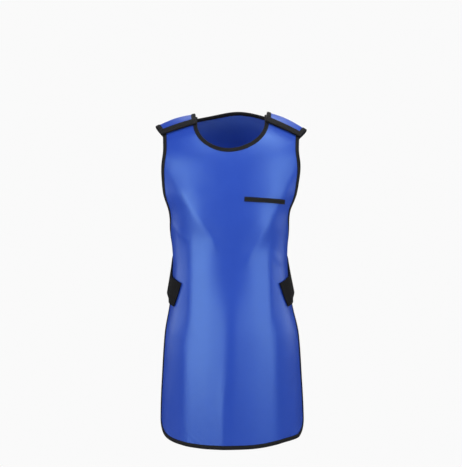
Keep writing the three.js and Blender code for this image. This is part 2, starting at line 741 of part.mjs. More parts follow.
// Front panel and its tapes
add("front_panel", wall(panel, 0, PANEL_WALL), BLUE);
const armholeRow = [...Array(ROWS).keys()].find((row) => panel.at(COLUMNS, row).down < ARMHOLE_BOTTOM);
const leftOfBody = stationsAlong(panel, rightSide);
const rightOfBody = stationsAlong(panel, leftSide);
const splitRight = ROWS - armholeRow;
const addTape = (name, stations) => add(name, tape(stations, 0, PANEL_WALL, TAPE_WALL), BLACK);
addTape("left_armhole_binding", trimmed(leftOfBody.slice(armholeRow), GAP, 0));
addTape("right_armhole_binding", trimmed(rightOfBody.slice(0, splitRight + 1), 0, GAP));
const lowerLoop = [
  ...leftSide.slice(splitRight),
  ...hem.slice(1),
  ...rightSide.slice(1, armholeRow + 1),
];
const aboveRight = panel.at(...leftSide[splitRight - 1]);
const aboveLeft = panel.at(...rightSide[armholeRow + 1]);
addTape("hem_binding", trimmed(stationsAlong(panel, lowerLoop, aboveRight, aboveLeft), GAP, GAP));
addTape("neck_binding", stationsAlong(panel, neckline));

// Shoulder flaps with their bands and tapes, and the back yoke
const flapTop = FLAP_LIFT + PANEL_WALL;
const addFlapTape = (name, stations) =>
  add(name, tape(stations, FLAP_LIFT, flapTop, TAPE_WALL), BLACK);

function addFlap(flap, label, lowName, highName, lowNext, highNext) {
  const { low, high, end } = flapEdges(flap);
  insetAlong(flap, low, TAPE_WIDTH);
  insetAlong(flap, high, TAPE_WIDTH);
  flap.underTape(end);
  add(label + "_shoulder_flap", wall(flap, FLAP_LIFT, flapTop), BLUE);
  const band = tape(stationsAlong(flap, end), FLAP_LIFT, flapTop, BAND_WALL);
  add(label + "_shoulder_band", band, BLACK);
  const lowStations = stationsAlong(flap, low, lowNext, flap.at(0, 0));
  const highStations = stationsAlong(flap, high, flap.at(flap.columns, 0), highNext);
  addFlapTape(label + "_flap_" + lowName + "_binding", trimmed(lowStations, GAP, 2 * GAP));
  addFlapTape(label + "_flap_" + highName + "_binding", trimmed(highStations, 2 * GAP, GAP));
}

const leftFlap = flapGrid(1);
const rightFlap = flapGrid(-1);
const lastRow = leftFlap.rows;
addFlap(leftFlap, "left", "neck", "arm", yoke.at(YOKE_NECK_RIGHT - 1, 0), yoke.at(yoke.columns, 1));
addFlap(rightFlap, "right", "arm", "neck", yoke.at(0, 1), yoke.at(YOKE_NECK_LEFT + 1, 0));

add("back_yoke", wall(yoke, FLAP_LIFT, flapTop), BLUE);
const neckBefore = rightFlap.at(rightFlap.columns, lastRow - 1);
const neckAfter = leftFlap.at(0, lastRow - 1);
const yokeNeckStations = stationsAlong(yoke, yokeNeck, neckBefore, neckAfter);
addFlapTape("yoke_neck_binding", yokeNeckStations);
const armBefore = leftFlap.at(leftFlap.columns, lastRow - 1);
const armAfter = rightFlap.at(0, lastRow - 1);
addFlapTape("yoke_edge_binding", stationsAlong(yoke, yokeRound, armBefore, armAfter));

// Waist belt and pocket mouth
const beltGeometry = wall(belt, BELT_LIFT, BELT_LIFT + BELT_WALL, (place) => place.flare);
add("waist_belt", beltGeometry, ELASTIC);
const pocketLift = PANEL_WALL + POCKET_GAP;
add("pocket_band", wall(pocket, pocketLift, pocketLift + POCKET_WALL), BLACK);

export default apron;
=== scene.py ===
# %% [markdown]
# # A lead x-ray apron, dressed
# A lead apron is a long shield of lead-filled sheet between two covers of blue coated nylon. Every cut
# edge is closed with folded black tape, two flaps come over the shoulders, a short yoke joins them on the
# back, and a broad black belt holds the waist. The plain solids are already packed as a fixed frame. This
# lesson replaces each of them with a finer mesh of the same size in the same place, and gives each finish
# its own material.

import bpy
import numpy as np
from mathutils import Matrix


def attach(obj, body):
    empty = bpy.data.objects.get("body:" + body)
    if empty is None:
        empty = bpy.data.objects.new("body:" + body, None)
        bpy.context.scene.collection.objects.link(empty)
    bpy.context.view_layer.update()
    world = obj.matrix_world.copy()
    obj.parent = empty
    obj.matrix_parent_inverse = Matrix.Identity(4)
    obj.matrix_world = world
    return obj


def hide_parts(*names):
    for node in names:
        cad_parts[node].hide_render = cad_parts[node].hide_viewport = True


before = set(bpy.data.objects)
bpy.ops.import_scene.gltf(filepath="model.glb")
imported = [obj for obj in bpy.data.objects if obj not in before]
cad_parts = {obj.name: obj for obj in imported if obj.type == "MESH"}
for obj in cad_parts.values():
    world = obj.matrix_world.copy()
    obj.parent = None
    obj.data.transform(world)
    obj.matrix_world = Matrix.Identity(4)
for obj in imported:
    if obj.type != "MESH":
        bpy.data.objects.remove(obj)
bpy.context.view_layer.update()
print("nodes in the frame:", len(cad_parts))

# %% [markdown]
# ## The worn form
# Cloth keeps the shape of what it lies on. The apron is drawn on one smooth form, so that the panel, its
# tapes and the belt always agree. A place on the cloth has two coordinates: `wrap`, the angle round the
# form in degrees from the front centre, and `down`, the length of cloth in millimetres below the shoulder
# crest, negative on the back. One could sculpt this form by hand, but a short table of its levels is
# easier to measure and to correct.

# %% Tables of the form
MM = 0.001
FORM_COLUMNS = ("down", "x", "y", "z", "half_width", "depth", "slope")
FORM = (
    (-290, 0, 112, -238, 215, -75, 0.03),
    (-200, 0, 108, -150, 225, -75, 0.1),
    (-120, 0, 92, -76, 239, -70, 0.22),
    (-60, 0, 54, -27, 250, -45, 0.33),
    (0, 0, 0, 0, 255, 0, 0.37),
    (33, 0, -32, -8, 255, 35, 0.37),
    (63, 0, -57, -24, 250, 65, 0.36),
    (105, 0, -84, -56, 243, 90, 0.27),
    (161, 0, -105, -108, 228, 105, 0.15),
    (243, -3, -117, -190, 195, 113, 0.05),
    (290, -5, -119, -237, 170, 115, 0.02),
    (333, -4.5, -120, -280, 161, 116, 0),
    (424, -2.5, -117, -371, 154, 113, 0),
    (514, -1, -123, -461, 159, 120, 0),
    (560, 0, -127, -507, 166, 128, 0),
    (634, 2, -135, -580, 184, 145, 0),
    (780, 2.5, -144, -725, 195, 168, 0),
    (940, 4, -150, -885, 200, 180, 0),
)
ROUNDNESS = 1.15
SHOULDER_MIDDLE = 92
SHOULDER_SOFTENING = 60
SHOULDER_STEEPNESS = 1.135
SHOULDER_TILT = 0.205
SHOULDER_TILT_REACH = 50
CREST_HEIGHT = 5.5
CREST_AT = 150
CREST_REACH = 64
CREST_RUN = 38
STEP = 0.05
WAIST_DOWN = 424


def column(rows, names, name):
    """One named column of a table."""
    return np.array([row[names.index(name)] for row in rows], float)


def curve(rows, names, at, key):
    """A smooth curve through one column of a table."""
    places = column(rows, names, at)
    values = column(rows, names, key)
    number = np.arange(len(rows))
    before = np.maximum(number - 1, 0)
    after = np.minimum(number + 1, len(rows) - 1)
    slopes = (values[after] - values[before]) / (places[after] - places[before])

    def value_at(place):
        place = np.asarray(place, float)
        left = np.clip(np.searchsorted(places, place, side="right") - 1, 0, len(rows) - 2)
        span = places[left + 1] - places[left]
        share = np.clip((place - places[left]) / span, 0, 1)
        rise = values[left + 1] - values[left]
        bend_start = slopes[left] * span - rise
        bend_end = rise - slopes[left + 1] * span
        bend = share * (1 - share) * (bend_start * (1 - share) + bend_end * share)
        return values[left] + share * rise + bend

    return value_at


form = {name: curve(FORM, FORM_COLUMNS, "down", name) for name in FORM_COLUMNS[1:]}


def form_point(wrap, down):
    """A point of the worn form, in millimetres."""
    angle = np.radians(wrap)
    turn = 1 - np.cos(angle)
    back = np.where(turn < 1, np.minimum(turn, 1) ** ROUNDNESS, 1 + ROUNDNESS * (turn - 1))
    x = form["x"](down) + form["half_width"](down) * np.sin(angle)
    y = form["y"](down) + form["depth"](down) * back
    away = np.hypot(x, SHOULDER_SOFTENING) - SHOULDER_SOFTENING
    slope = form["slope"](down) * (SHOULDER_STEEPNESS + SHOULDER_TILT * np.tanh(x / SHOULDER_TILT_REACH))
    beside = np.maximum(0, 1 - ((np.abs(x) - CREST_AT) / CREST_REACH) ** 2)
    crest = CREST_HEIGHT * beside**2 * np.exp(-((np.asarray(down) / CREST_RUN) ** 2))
    z = form["z"](down) - slope * (away - SHOULDER_MIDDLE) + crest
    return np.stack([x, y, z], axis=-1)


print("front centre at the waist, mm:", form_point(0, WAIST_DOWN).round(1))

# %% [markdown]
# ## Folds
# A lead sheet is heavy and stiff, so it falls in a few broad ridges: two tension folds from the armholes
# to the middle of the waist, a keel down the middle of the skirt, and long soft edges beside it. Thin
# creases run along some of them. Each is a ridge on a straight line that fades at both ends, so one row
# of a table holds it. A cloth simulation would also fold the panel, but it would choose folds of its own.

# %% Tables of the folds
FOLD_COLUMNS = ("x", "down", "to_x", "to_down", "width", "height", "fade")
FOLDS = (
    (-166, 190, -60, 375, 44, 7.0, 90),
    (168, 190, 58, 405, 44, 7.0, 90),
    (-106, 350, -108, 640, 15, 2.4, 60),
    (98, 380, 104, 620, 15, 2.4, 60),
    (0, 440, -10, 1150, 45, 5.0, 150),
    (2, 480, -16, 1150, 24, 1.8, 150),
    (-122, 560, -120, 1150, 20, 3.0, 130),
    (112, 560, 122, 1150, 22, 2.2, 150),
    (-172, 720, -176, 1150, 17, 2.5, 120),
    (178, 720, 180, 1150, 17, 2.5, 120),
)
CREASES = (
    (-180, 168, -28, 412, 12, 1.4, 40),
    (182, 165, 34, 455, 12, 1.4, 40),
    (-166, 322, -108, 384, 8, 1.3, 25),
    (103, 404, 142, 447, 9, 1.2, 20),
    (-18, 700, -30, 1150, 12, 1.5, 150),
)
FOLD_FADE_COSINE = 0.3


def smooth_step(share):
    """A share from 0 to 1 with soft ends."""
    share = np.clip(share, 0, 1)
    return share * share * (3 - 2 * share)


def fold_height(x, down):
    """How far the folds lift the front panel."""
    height = np.zeros(np.broadcast(x, down).shape)
    for start_x, start_down, end_x, end_down, width, rise, fade in FOLDS + CREASES:
        run_x = end_x - start_x
        run_down = end_down - start_down
        length = np.hypot(run_x, run_down)
        share = np.clip(((x - start_x) * run_x + (down - start_down) * run_down) / length**2, 0, 1)
        off = np.hypot(x - start_x - share * run_x, down - start_down - share * run_down) / width
        strength = smooth_step(share * length / fade) * smooth_step((1 - share) * length / fade)
        height = height + rise * np.exp(-off * off) * strength
    return height


def outward(surface, wrap, down):
    """The unit direction out of a surface, from two small steps on it."""
    round_step = surface(wrap + STEP, down) - surface(wrap - STEP, down)
    fall_step = surface(wrap, down + STEP) - surface(wrap, down - STEP)
    normal = np.cross(fall_step, round_step)
    return normal / np.linalg.norm(normal, axis=-1, keepdims=True)


def cloth(wrap, down):
    """The cloth's inner face on the form, with the front's folds, which die out towards the sides."""
    point = form_point(wrap, down)
    front = smooth_step(np.cos(np.radians(wrap)) / FOLD_FADE_COSINE)
    height = np.where(np.asarray(down) > 0, fold_height(point[..., 0], down) * front, 0)
    return point + outward(form_point, wrap, down) * height[..., None]


def lifted(wrap, down, lift):
    """A point at a height above the cloth's inner face."""
    height = np.asarray(lift, float)[..., None]
    return cloth(wrap, down) + outward(cloth, wrap, down) * height


print("folds:", len(FOLDS), "highest, mm:", max(column(FOLDS, FOLD_COLUMNS, "height")))

# %% [markdown]
# ## Two skins make a wall
# Each piece of cloth here is a thin wall: an outer skin, an inner skin and a rim that closes them. One
# helper makes that wall from two grids of points, and every piece is made with it. A Solidify modifier
# would do the same, but a grid lets the wall get thinner towards its rim, as a pressed edge does.

# %% Helpers that make a mesh
SHARP_ANGLE = 50


def grid_cells(present):
    """The corner numbers of every whole cell of a grid, anticlockwise seen from outside."""
    rows, columns = present.shape
    number = np.arange(rows * columns).reshape(rows, columns)
    corners = [number[:-1, :-1], number[:-1, 1:], number[1:, 1:], number[1:, :-1]]
    cells = np.stack([corner.ravel() for corner in corners], axis=1)
    whole = present.ravel()[cells].all(axis=1)
    return cells[whole]


def rim_edges(cells):
    """The edges that belong to one cell only."""
    edges = np.concatenate([cells[:, [side, (side + 1) % 4]] for side in range(4)])
    key = edges.min(axis=1) * (cells.max() + 1) + edges.max(axis=1)
    _, first, uses = np.unique(key, return_index=True, return_counts=True)
    return edges[first[uses == 1]]


def make_piece(name, points, faces, cloth_uv):
    """A smooth mesh object in metres, with the cloth's own coordinates as its UV map."""
    used, renumbered = np.unique(faces, return_inverse=True)
    faces = renumbered.reshape(faces.shape)
    mesh = bpy.data.meshes.new(name)
    mesh.from_pydata((points[used] * MM).tolist(), [], faces.tolist())
    layer = mesh.uv_layers.new(name="cloth")
    layer.data.foreach_set("uv", (cloth_uv[used] * MM)[faces.ravel()].astype(np.float32).ravel())
    mesh.shade_smooth()
    mesh.set_sharp_from_angle(angle=np.radians(SHARP_ANGLE))
    piece = bpy.data.objects.new(name, mesh)
    bpy.context.scene.collection.objects.link(piece)
    return piece


def make_wall(name, outer, inner, cloth_uv, present=None):
    """A closed wall between two grids of points."""
    if present is None:
        present = np.ones(outer.shape[:2], bool)
    cells = grid_cells(present)
    count = present.size
    rim = rim_edges(cells)
    rim_faces = np.stack([rim[:, 1], rim[:, 0], rim[:, 0] + count, rim[:, 1] + count], axis=1)
    faces = np.concatenate([cells, cells[:, ::-1] + count, rim_faces])
    points = np.concatenate([outer.reshape(-1, 3), inner.reshape(-1, 3)])
    uv = cloth_uv.reshape(-1, 2)
    piece = make_piece(name, points, faces, np.concatenate([uv, uv]))
    print(name, "faces:", len(piece.data.polygons))
    return piece


# %% [markdown]
# ## Front panel
# The front panel is cut with a round neck, two armholes and rounded lower corners. Its grid has columns
# that follow the armhole on the outside and the neckline on the inside, so the mesh runs along every cut
# edge. The covers are sewn to the tape, and sewing draws a long edge up a little, which leaves small
# puckers beside the tape.

# %% Outline of the front panel
PANEL_WALL = 3.0
TAPE_WIDTH = 10
TONGUE_TOP = 24
NECK_CENTRE = 62
NECK_HALF_WIDTH = 92
NECK_DEPTH = 86
NECK_TURN = 42
HEM_DOWN = 927
CORNER_WRAP = 44
CORNER_HEIGHT = 68
CORNER_TURN = 45
NECK_COLUMN_AT_HEM = 0.42
PANEL_EDGE_COLUMNS = ("down", "wrap")
PANEL_EDGE = (
    (20, 48),
    (63, 47.2),
    (125, 49.5),
    (174, 56),
    (220, 62),
    (265, 67.8),
    (300, 71.5),
    (330, 77.5),
    (352, 87.5),
    (372, 95.5),
    (395, 98.5),
    (424, 99),
    (514, 95),
    (565, 85),
    (634, 77),
    (780, 74.5),
    (930, 73.5),
)
HEM_COLUMNS = ("wrap", "rise")
HEM = (
    (-61, 0),
    (-52, 2.2),
    (-42, 4.5),
    (-32, 3),
    (-20, 0.6),
    (0, 0.4),
    (14, 1.2),
    (24, 4),
    (34, 8.5),
    (43, 10),
    (52, 6.5),
    (61, 0),
)
panel_edge = curve(PANEL_EDGE, PANEL_EDGE_COLUMNS, "down", "wrap")
hem_rise = curve(HEM, HEM_COLUMNS, "wrap", "rise")
NECK_JOINT_DOWN = NECK_CENTRE + NECK_DEPTH * np.sin(np.radians(NECK_TURN))
CORNER_START = HEM_DOWN - CORNER_HEIGHT
CORNER_DOWN = CORNER_START + CORNER_HEIGHT * np.sin(np.radians(CORNER_TURN))


def mix(start, end, share):
    """A value between two others."""
    return start + (end - start) * share


def round_off(share):
    """How far a quarter circle has turned away at a share of its radius."""
    return 1 - np.sqrt(1 - np.clip(share, 0, 1) ** 2)


def side_wrap(down):
    """The panel's side edge, with the rounded lower corner."""
    return panel_edge(down) - CORNER_WRAP * round_off((down - CORNER_START) / CORNER_HEIGHT)


def hem_down(wrap):
    """The hem, with its rise and the rounded corners."""
    into = np.abs(wrap) - (panel_edge(CORNER_DOWN) - CORNER_WRAP)
    return HEM_DOWN - hem_rise(wrap) - CORNER_HEIGHT * round_off(into / CORNER_WRAP)


def neck_column(down):
    """The side of the neckline, and the column that goes on from it to the hem."""
    above = np.minimum(down, NECK_JOINT_DOWN)
    aside = NECK_HALF_WIDTH * np.sqrt(1 - np.clip((above - NECK_CENTRE) / NECK_DEPTH, 0, 1) ** 2)
    upper = np.degrees(np.arcsin(aside / form["half_width"](above)))
    share = np.clip((down - NECK_JOINT_DOWN) / (HEM_DOWN - NECK_JOINT_DOWN), 0, 1)
    return mix(upper, NECK_COLUMN_AT_HEM * side_wrap(CORNER_DOWN), share)


def neck_down(wrap):
    """The lower part of the neckline."""
    aside = form["half_width"](NECK_JOINT_DOWN) * np.sin(np.radians(wrap))
    return NECK_CENTRE + NECK_DEPTH * np.sqrt(1 - np.clip(np.abs(aside) / NECK_HALF_WIDTH, 0, 1) ** 2)


print("hem corner at wrap, degrees:", round(float(side_wrap(CORNER_DOWN)), 1))

# %% Grid of the front panel
SIDE_STEPS = 34
NECK_STEPS = 56
BODY_STEPS = 190
TONGUE_STEPS = 22


def lane_wrap(lane, neck, side):
    """The angle of a lane: 0 is the middle, 1 the side of the neck and 2 the side edge."""
    size = np.abs(lane)
    inside = np.minimum(size, 1) * neck
    beyond = np.clip(size - 1, 0, 1) * (side - neck)
    return np.sign(lane) * (inside + beyond)


def column_wrap(lane, down):
    """The angle of a lane of the front panel."""
    return lane_wrap(lane, neck_column(down), side_wrap(down))


def panel_places():
    """Wrap and down of every grid point, and which of them are cloth."""
    right = np.linspace(-2, -1, SIDE_STEPS + 1)
    middle = np.linspace(-1, 1, NECK_STEPS + 1)
    left = np.linspace(1, 2, SIDE_STEPS + 1)
    lane = np.concatenate([right, middle[1:], left[1:]])[None, :]
    low = hem_down(column_wrap(lane, CORNER_DOWN))
    in_neck = np.abs(lane) < 1
    high = np.where(in_neck, neck_down(column_wrap(lane, NECK_JOINT_DOWN)), NECK_JOINT_DOWN)
    body = np.linspace(0, 1, BODY_STEPS + 1)[:, None]
    body_down = mix(low, high, body)
    body_wrap = column_wrap(lane, np.minimum(mix(low, NECK_JOINT_DOWN, body), CORNER_DOWN))
    tongue = np.linspace(0, 1, TONGUE_STEPS + 1)[1:, None]
    tongue_down = mix(NECK_JOINT_DOWN, TONGUE_TOP, tongue) + 0 * lane
    tongue_wrap = column_wrap(lane, tongue_down)
    wrap = np.concatenate([body_wrap, tongue_wrap])
    down = np.concatenate([body_down, tongue_down])
    present = np.concatenate([np.ones(body_wrap.shape, bool), np.abs(lane) >= 1 + 0 * tongue])
    return wrap, down, present


def across_length(wrap, down):
    """Length of cloth across from the front centre, for the weave."""
    return form["half_width"](down) * np.radians(wrap)


panel_wrap, panel_down, panel_present = panel_places()
print("panel grid:", panel_wrap.shape)

# %% Puckers beside the tape, and the panel itself
PUCKER_HEIGHT = 0.5
PUCKER_START = 9
PUCKER_REACH = 26
PUCKER_PITCH = 17
PUCKER_FADE = 5
PUCKER_SLANT = 0.8
PUCKER_INSIDE = 0.5
PUCKER_MEAN = 0.65
PUCKER_BEAT_LENGTH = 43
PUCKER_BEAT_SHIFT = 2
WANDER_COLUMNS = ("height", "length", "shift")
WANDER = (
    (2.1, 71, 0),
    (1.3, 29, 1),
)
RIM_PRESS = 0.45


def edge_distance(wrap, down):
    """About how far a place lies from the side edge or the hem, in millimetres."""
    degrees_in = side_wrap(np.minimum(down, CORNER_DOWN)) - np.abs(wrap)
    from_side = np.radians(degrees_in) * form["half_width"](down)
    from_hem = hem_down(wrap) - down
    return np.minimum(from_side, from_hem)


def pucker(wrap, down):
    """Small waves across the seam, strongest just beside the tape."""
    distance = edge_distance(wrap, down)
    start = smooth_step((distance - PUCKER_START) / PUCKER_FADE)
    strength = start * np.exp(-np.maximum(distance, 0) / PUCKER_REACH)
    along = down + PUCKER_SLANT * across_length(np.abs(wrap), down)
    rows = [dict(zip(WANDER_COLUMNS, row)) for row in WANDER]
    wander = sum(row["height"] * np.sin(along / row["length"] + row["shift"]) for row in rows)
    beat = PUCKER_MEAN + (1 - PUCKER_MEAN) * np.sin(along / PUCKER_BEAT_LENGTH + PUCKER_BEAT_SHIFT)
    return PUCKER_HEIGHT * strength * beat * np.sin(2 * np.pi * along / PUCKER_PITCH + wander)


def pressed_rim(present):
    """1 on the rim of a grid and 0 inside it."""
    cells = grid_cells(present)
    rim = np.zeros(present.size)
    rim[np.unique(rim_edges(cells))] = 1
    return rim.reshape(present.shape)


waves = pucker(panel_wrap, panel_down)
press = RIM_PRESS * pressed_rim(panel_present)
panel_uv = np.stack([across_length(panel_wrap, panel_down), panel_down], axis=-1)
front_panel = make_wall(
    "front_panel_cover",
    lifted(panel_wrap, panel_down, PANEL_WALL - press + waves),
    lifted(panel_wrap, panel_down, press + PUCKER_INSIDE * waves),
    panel_uv,
    panel_present,
)

# %% [markdown]
# ## Folded tape
# A binding is a strip of woven tape folded over the edge, with one leaf on each face of the cloth. Its
# section is a flat U. The tape could be a curve with a bevel profile, but its leaves must lie on the
# folded cloth, so each point of the U is a place some way in from the edge, at a height above the cloth.
# Where a tape runs into a seam or under a band, its end is cut along that line.

# %% Helpers for folded tape
GAP = 0.3
TAPE_WALL = 0.9
TAPE_SPACING = 4.0
RIM_START = 0.6
LEAF_STEPS = 5
BEND_STEPS = 8
LEAF_CROWN = 0.12
LEAF_EDGE_DROP = 0.4
CUT_REACH = 22


def length_along(wrap, down):
    """The length of cloth from the start of a path to each of its places."""
    steps = np.linalg.norm(np.diff(cloth(wrap, down), axis=0), axis=1)
    return np.concatenate([[0], np.cumsum(steps)])


def resampled(wrap, down, spacing):
    """The same path with even steps along the cloth."""
    travelled = length_along(wrap, down)
    count = max(int(round(travelled[-1] / spacing)), 2)
    even = np.linspace(0, travelled[-1], count + 1)
    return np.interp(even, travelled, wrap), np.interp(even, travelled, down)


def inward_along(wrap, down):
    """The unit direction from an edge into the cloth, which lies on the left of the path."""
    tangent = np.gradient(cloth(wrap, down), axis=0)
    inward = np.cross(outward(cloth, wrap, down), tangent)
    return inward / np.linalg.norm(inward, axis=-1, keepdims=True)


def moved(wrap, down, vector):
    """A place on the cloth moved by a vector that lies along it."""
    round_way = (cloth(wrap + STEP, down) - cloth(wrap - STEP, down)) / (2 * STEP)
    fall_way = (cloth(wrap, down + STEP) - cloth(wrap, down - STEP)) / (2 * STEP)
    round_size = (round_way**2).sum(-1)
    fall_size = (fall_way**2).sum(-1)
    mixed = (round_way * fall_way).sum(-1)
    by_round = (vector * round_way).sum(-1)
    by_fall = (vector * fall_way).sum(-1)
    scale = round_size * fall_size - mixed**2
    new_wrap = wrap + (by_round * fall_size - by_fall * mixed) / scale
    new_down = down + (by_fall * round_size - by_round * mixed) / scale
    return new_wrap, new_down


def folded_section(width, wall, low, high):
    """Inset and height of the outer and inner skins, from one leaf's edge round the rim to the other."""
    far = GAP + wall
    middle = (low + high) / 2
    half = (high - low) / 2 + far
    leaf = np.linspace(width, RIM_START, LEAF_STEPS)
    crown = LEAF_CROWN * np.sin(np.linspace(0, np.pi, LEAF_STEPS))
    crown[0] = -LEAF_EDGE_DROP * wall
    turn = np.radians(np.linspace(90, -90, BEND_STEPS + 1))[1:-1]
    bend_out = np.stack([RIM_START - (RIM_START + far) * np.cos(turn), middle + half * np.sin(turn)], 1)
    bend_in = np.stack(
        [RIM_START - (RIM_START + GAP) * np.cos(turn), middle + (half - wall) * np.sin(turn)], 1
    )
    top_out = np.stack([leaf, middle + half + crown], 1)
    top_in = np.stack([leaf, middle + half - wall + 0 * leaf], 1)
    low_out = np.stack([leaf, middle - half - crown], 1)[::-1]
    low_in = np.stack([leaf, middle - half + wall + 0 * leaf], 1)[::-1]
    return np.concatenate([top_out, bend_out, low_out]), np.concatenate([top_in, bend_in, low_in])


def cut_ends(at_down, travelled, cuts):
    """A line beside a path, drawn out or in near its ends so that both end on straight cuts across."""
    start, end = cuts
    near_start = smooth_step(1 - travelled / CUT_REACH)
    near_end = smooth_step(1 - (travelled[-1] - travelled) / CUT_REACH)
    return at_down + (start - at_down[0]) * near_start + (end - at_down[-1]) * near_end


def place_section(wrap, down, inward, section, squeeze=None, inset_place=None, cuts=None):
    """Points of a section at every station of a path. A piece may give its own way in from the edge."""
    base = cloth(wrap, down)
    normal = outward(cloth, wrap, down)
    travelled = length_along(wrap, down)
    middle = section[:, 1].mean()
    squeeze = np.ones(len(wrap)) if squeeze is None else squeeze
    points = np.zeros((len(wrap), len(section), 3))
    for number, (inset, height) in enumerate(section):
        lift = middle + (height - middle) * squeeze
        if inset > 0:
            at_wrap, at_down = inset_place(inset) if inset_place else moved(wrap, down, inward * inset)
            if cuts:
                at_down = cut_ends(at_down, travelled, cuts)
            points[:, number] = lifted(at_wrap, at_down, lift)
        else:
            points[:, number] = base + inward * inset + normal * lift[:, None]
    return points


def make_tape(
    name, wrap, down, low, high, width=TAPE_WIDTH, wall=TAPE_WALL, squeeze=None, inset_place=None, cuts=None
):
    """A tape folded over a path of edge places, with the cloth on the left of the path."""
    if inset_place is None:
        wrap, down = resampled(wrap, down, TAPE_SPACING)
    inward = inward_along(wrap, down)
    outer, inner = folded_section(width, wall, low, high)
    outer_points = place_section(wrap, down, inward, outer, squeeze, inset_place, cuts)
    inner_points = place_section(wrap, down, inward, inner, squeeze, inset_place, cuts)
    travelled = length_along(wrap, down)
    around = np.concatenate([[0], np.cumsum(np.linalg.norm(np.diff(outer, axis=0), axis=1))])
    uv = np.stack(np.broadcast_arrays(around[None, :], travelled[:, None]), axis=-1)
    return make_wall(name, outer_points, inner_points, uv)


# %% Tapes of the front panel
ARMHOLE_END = 327
PATH_STEPS = 800


def side_path(start, end):
    """The left side edge, at positive x, between two cloth lengths."""
    down = np.linspace(start, end, PATH_STEPS)
    return side_wrap(down), down


def hem_path():
    """The hem from the right corner to the left one."""
    limit = side_wrap(CORNER_DOWN)
    turn = np.linspace(-np.pi / 2, np.pi / 2, PATH_STEPS)
    wrap = limit * np.sin(turn)
    return wrap, hem_down(wrap)


def neck_path():
    """The neckline from the left tongue round to the right one."""
    side_down = np.linspace(TONGUE_TOP, NECK_JOINT_DOWN, PATH_STEPS)
    side = neck_column(side_down)
    turn = np.linspace(0, np.pi, PATH_STEPS)[1:-1]
    low = neck_column(NECK_JOINT_DOWN) * np.cos(turn)
    wrap = np.concatenate([side, low, -side[::-1]])
    down = np.concatenate([side_down, neck_down(low), side_down[::-1]])
    return wrap, down


def joined(*paths):
    """Several paths, end to end."""
    wrap = np.concatenate([path[0] for path in paths])
    down = np.concatenate([path[1] for path in paths])
    return wrap, down


def other_side(path):
    """A path on the left side as it runs on the right."""
    return -path[0][::-1], path[1][::-1]


left_armhole_path = side_path(ARMHOLE_END, TONGUE_TOP)
left_edge_path = side_path(CORNER_DOWN, ARMHOLE_END)
hem_edge_path = joined(other_side(left_edge_path), hem_path(), left_edge_path)
tapes = {
    "left_armhole_binding": make_tape("left_armhole_tape", *left_armhole_path, 0, PANEL_WALL),
    "right_armhole_binding": make_tape("right_armhole_tape", *other_side(left_armhole_path), 0, PANEL_WALL),
    "hem_binding": make_tape("hem_tape", *hem_edge_path, 0, PANEL_WALL),
    "neck_binding": make_tape("neck_tape", *neck_path(), 0, PANEL_WALL),
}

# %% [markdown]
# ## Shoulder flaps and back yoke
# The flaps carry the weight. Each one comes over the shoulder from the yoke and closes on the front panel
# with hook-and-loop, so it lies a few millimetres above the panel. A wide black band is folded round its
# front end. The yoke is a plain short panel across the upper back with rounded lower corners.

# %% Grids of the flaps and the yoke
FLAP_LIFT = 7
FLAP_FRONT = 66
FLAP_STEPS = 40
BAND_WIDTH = 20
BAND_WALL = 1.2
YOKE_TOP = -28.6
YOKE_HEM = -285
YOKE_NECK_DIP = 8
YOKE_CORNER = 15
YOKE_ROWS = 90
YOKE_MIDDLE_STEPS = 40
SHOULDER_COLUMNS = ("down", "neck", "arm")
SHOULDER_EDGE = (
    (-290, 17, 49),
    (-200, 17, 48),
    (-130, 17, 46.5),
    (-80, 19, 46.5),
    (-28, 22, 51.5),
    (0, 22.3, 52.6),
    (30, 22.2, 49.8),
    (70, 21.6, 47.2),
)
neck_edge = curve(SHOULDER_EDGE, SHOULDER_COLUMNS, "down", "neck")
arm_edge = curve(SHOULDER_EDGE, SHOULDER_COLUMNS, "down", "arm")
FLAP_TOP = FLAP_LIFT + PANEL_WALL


def flap_cloth(name, wrap, down):
    """A wall at the flaps' height on a grid of places, pressed thin at its rim."""
    press = RIM_PRESS * pressed_rim(np.ones(wrap.shape, bool))
    uv = np.stack([across_length(wrap, down), down], axis=-1)
    outer = lifted(wrap, down, FLAP_TOP - press)
    inner = lifted(wrap, down, FLAP_LIFT + press)
    return make_wall(name, outer, inner, uv)


def flap_wall(name, side):
    """A shoulder flap on one side: 1 is the left, at positive x, and -1 the right."""
    share = np.linspace(0, 1, FLAP_STEPS + 1)[None, :]
    down = np.linspace(FLAP_FRONT, YOKE_TOP, FLAP_STEPS + 1)[:, None] + 0 * share
    wrap = mix(neck_edge(down), arm_edge(down), share)
    if side < 0:
        wrap = -wrap[:, ::-1]
    return flap_cloth(name, wrap, down)


def yoke_lower_edge(wrap):
    """The yoke's lower edge, with rounded corners."""
    degrees_round = np.degrees(YOKE_CORNER / form["half_width"](YOKE_HEM))
    into = np.abs(wrap) - (arm_edge(YOKE_HEM) - degrees_round)
    return YOKE_HEM + YOKE_CORNER * round_off(into / degrees_round)


def yoke_neck(wrap):
    """The yoke's neckline, which dips in the middle."""
    share = np.minimum(np.abs(wrap) / neck_edge(YOKE_TOP), 1)
    return YOKE_TOP - YOKE_NECK_DIP * (1 - share * share)


def yoke_wall():
    """The back yoke, from arm edge to arm edge."""
    side = np.linspace(1, 2, FLAP_STEPS + 1)
    middle = np.linspace(-1, 1, YOKE_MIDDLE_STEPS + 1)
    lane = np.concatenate([-side[::-1], middle[1:], side[1:]])[None, :]
    row = np.linspace(0, 1, YOKE_ROWS + 1)[:, None]

    def wrap_at(down):
        return lane_wrap(lane, neck_edge(down), arm_edge(down))

    top = yoke_neck(wrap_at(YOKE_TOP))
    low = yoke_lower_edge(wrap_at(YOKE_HEM))
    down = mix(top, low, row)
    return flap_cloth("back_yoke_cover", wrap_at(down), down)


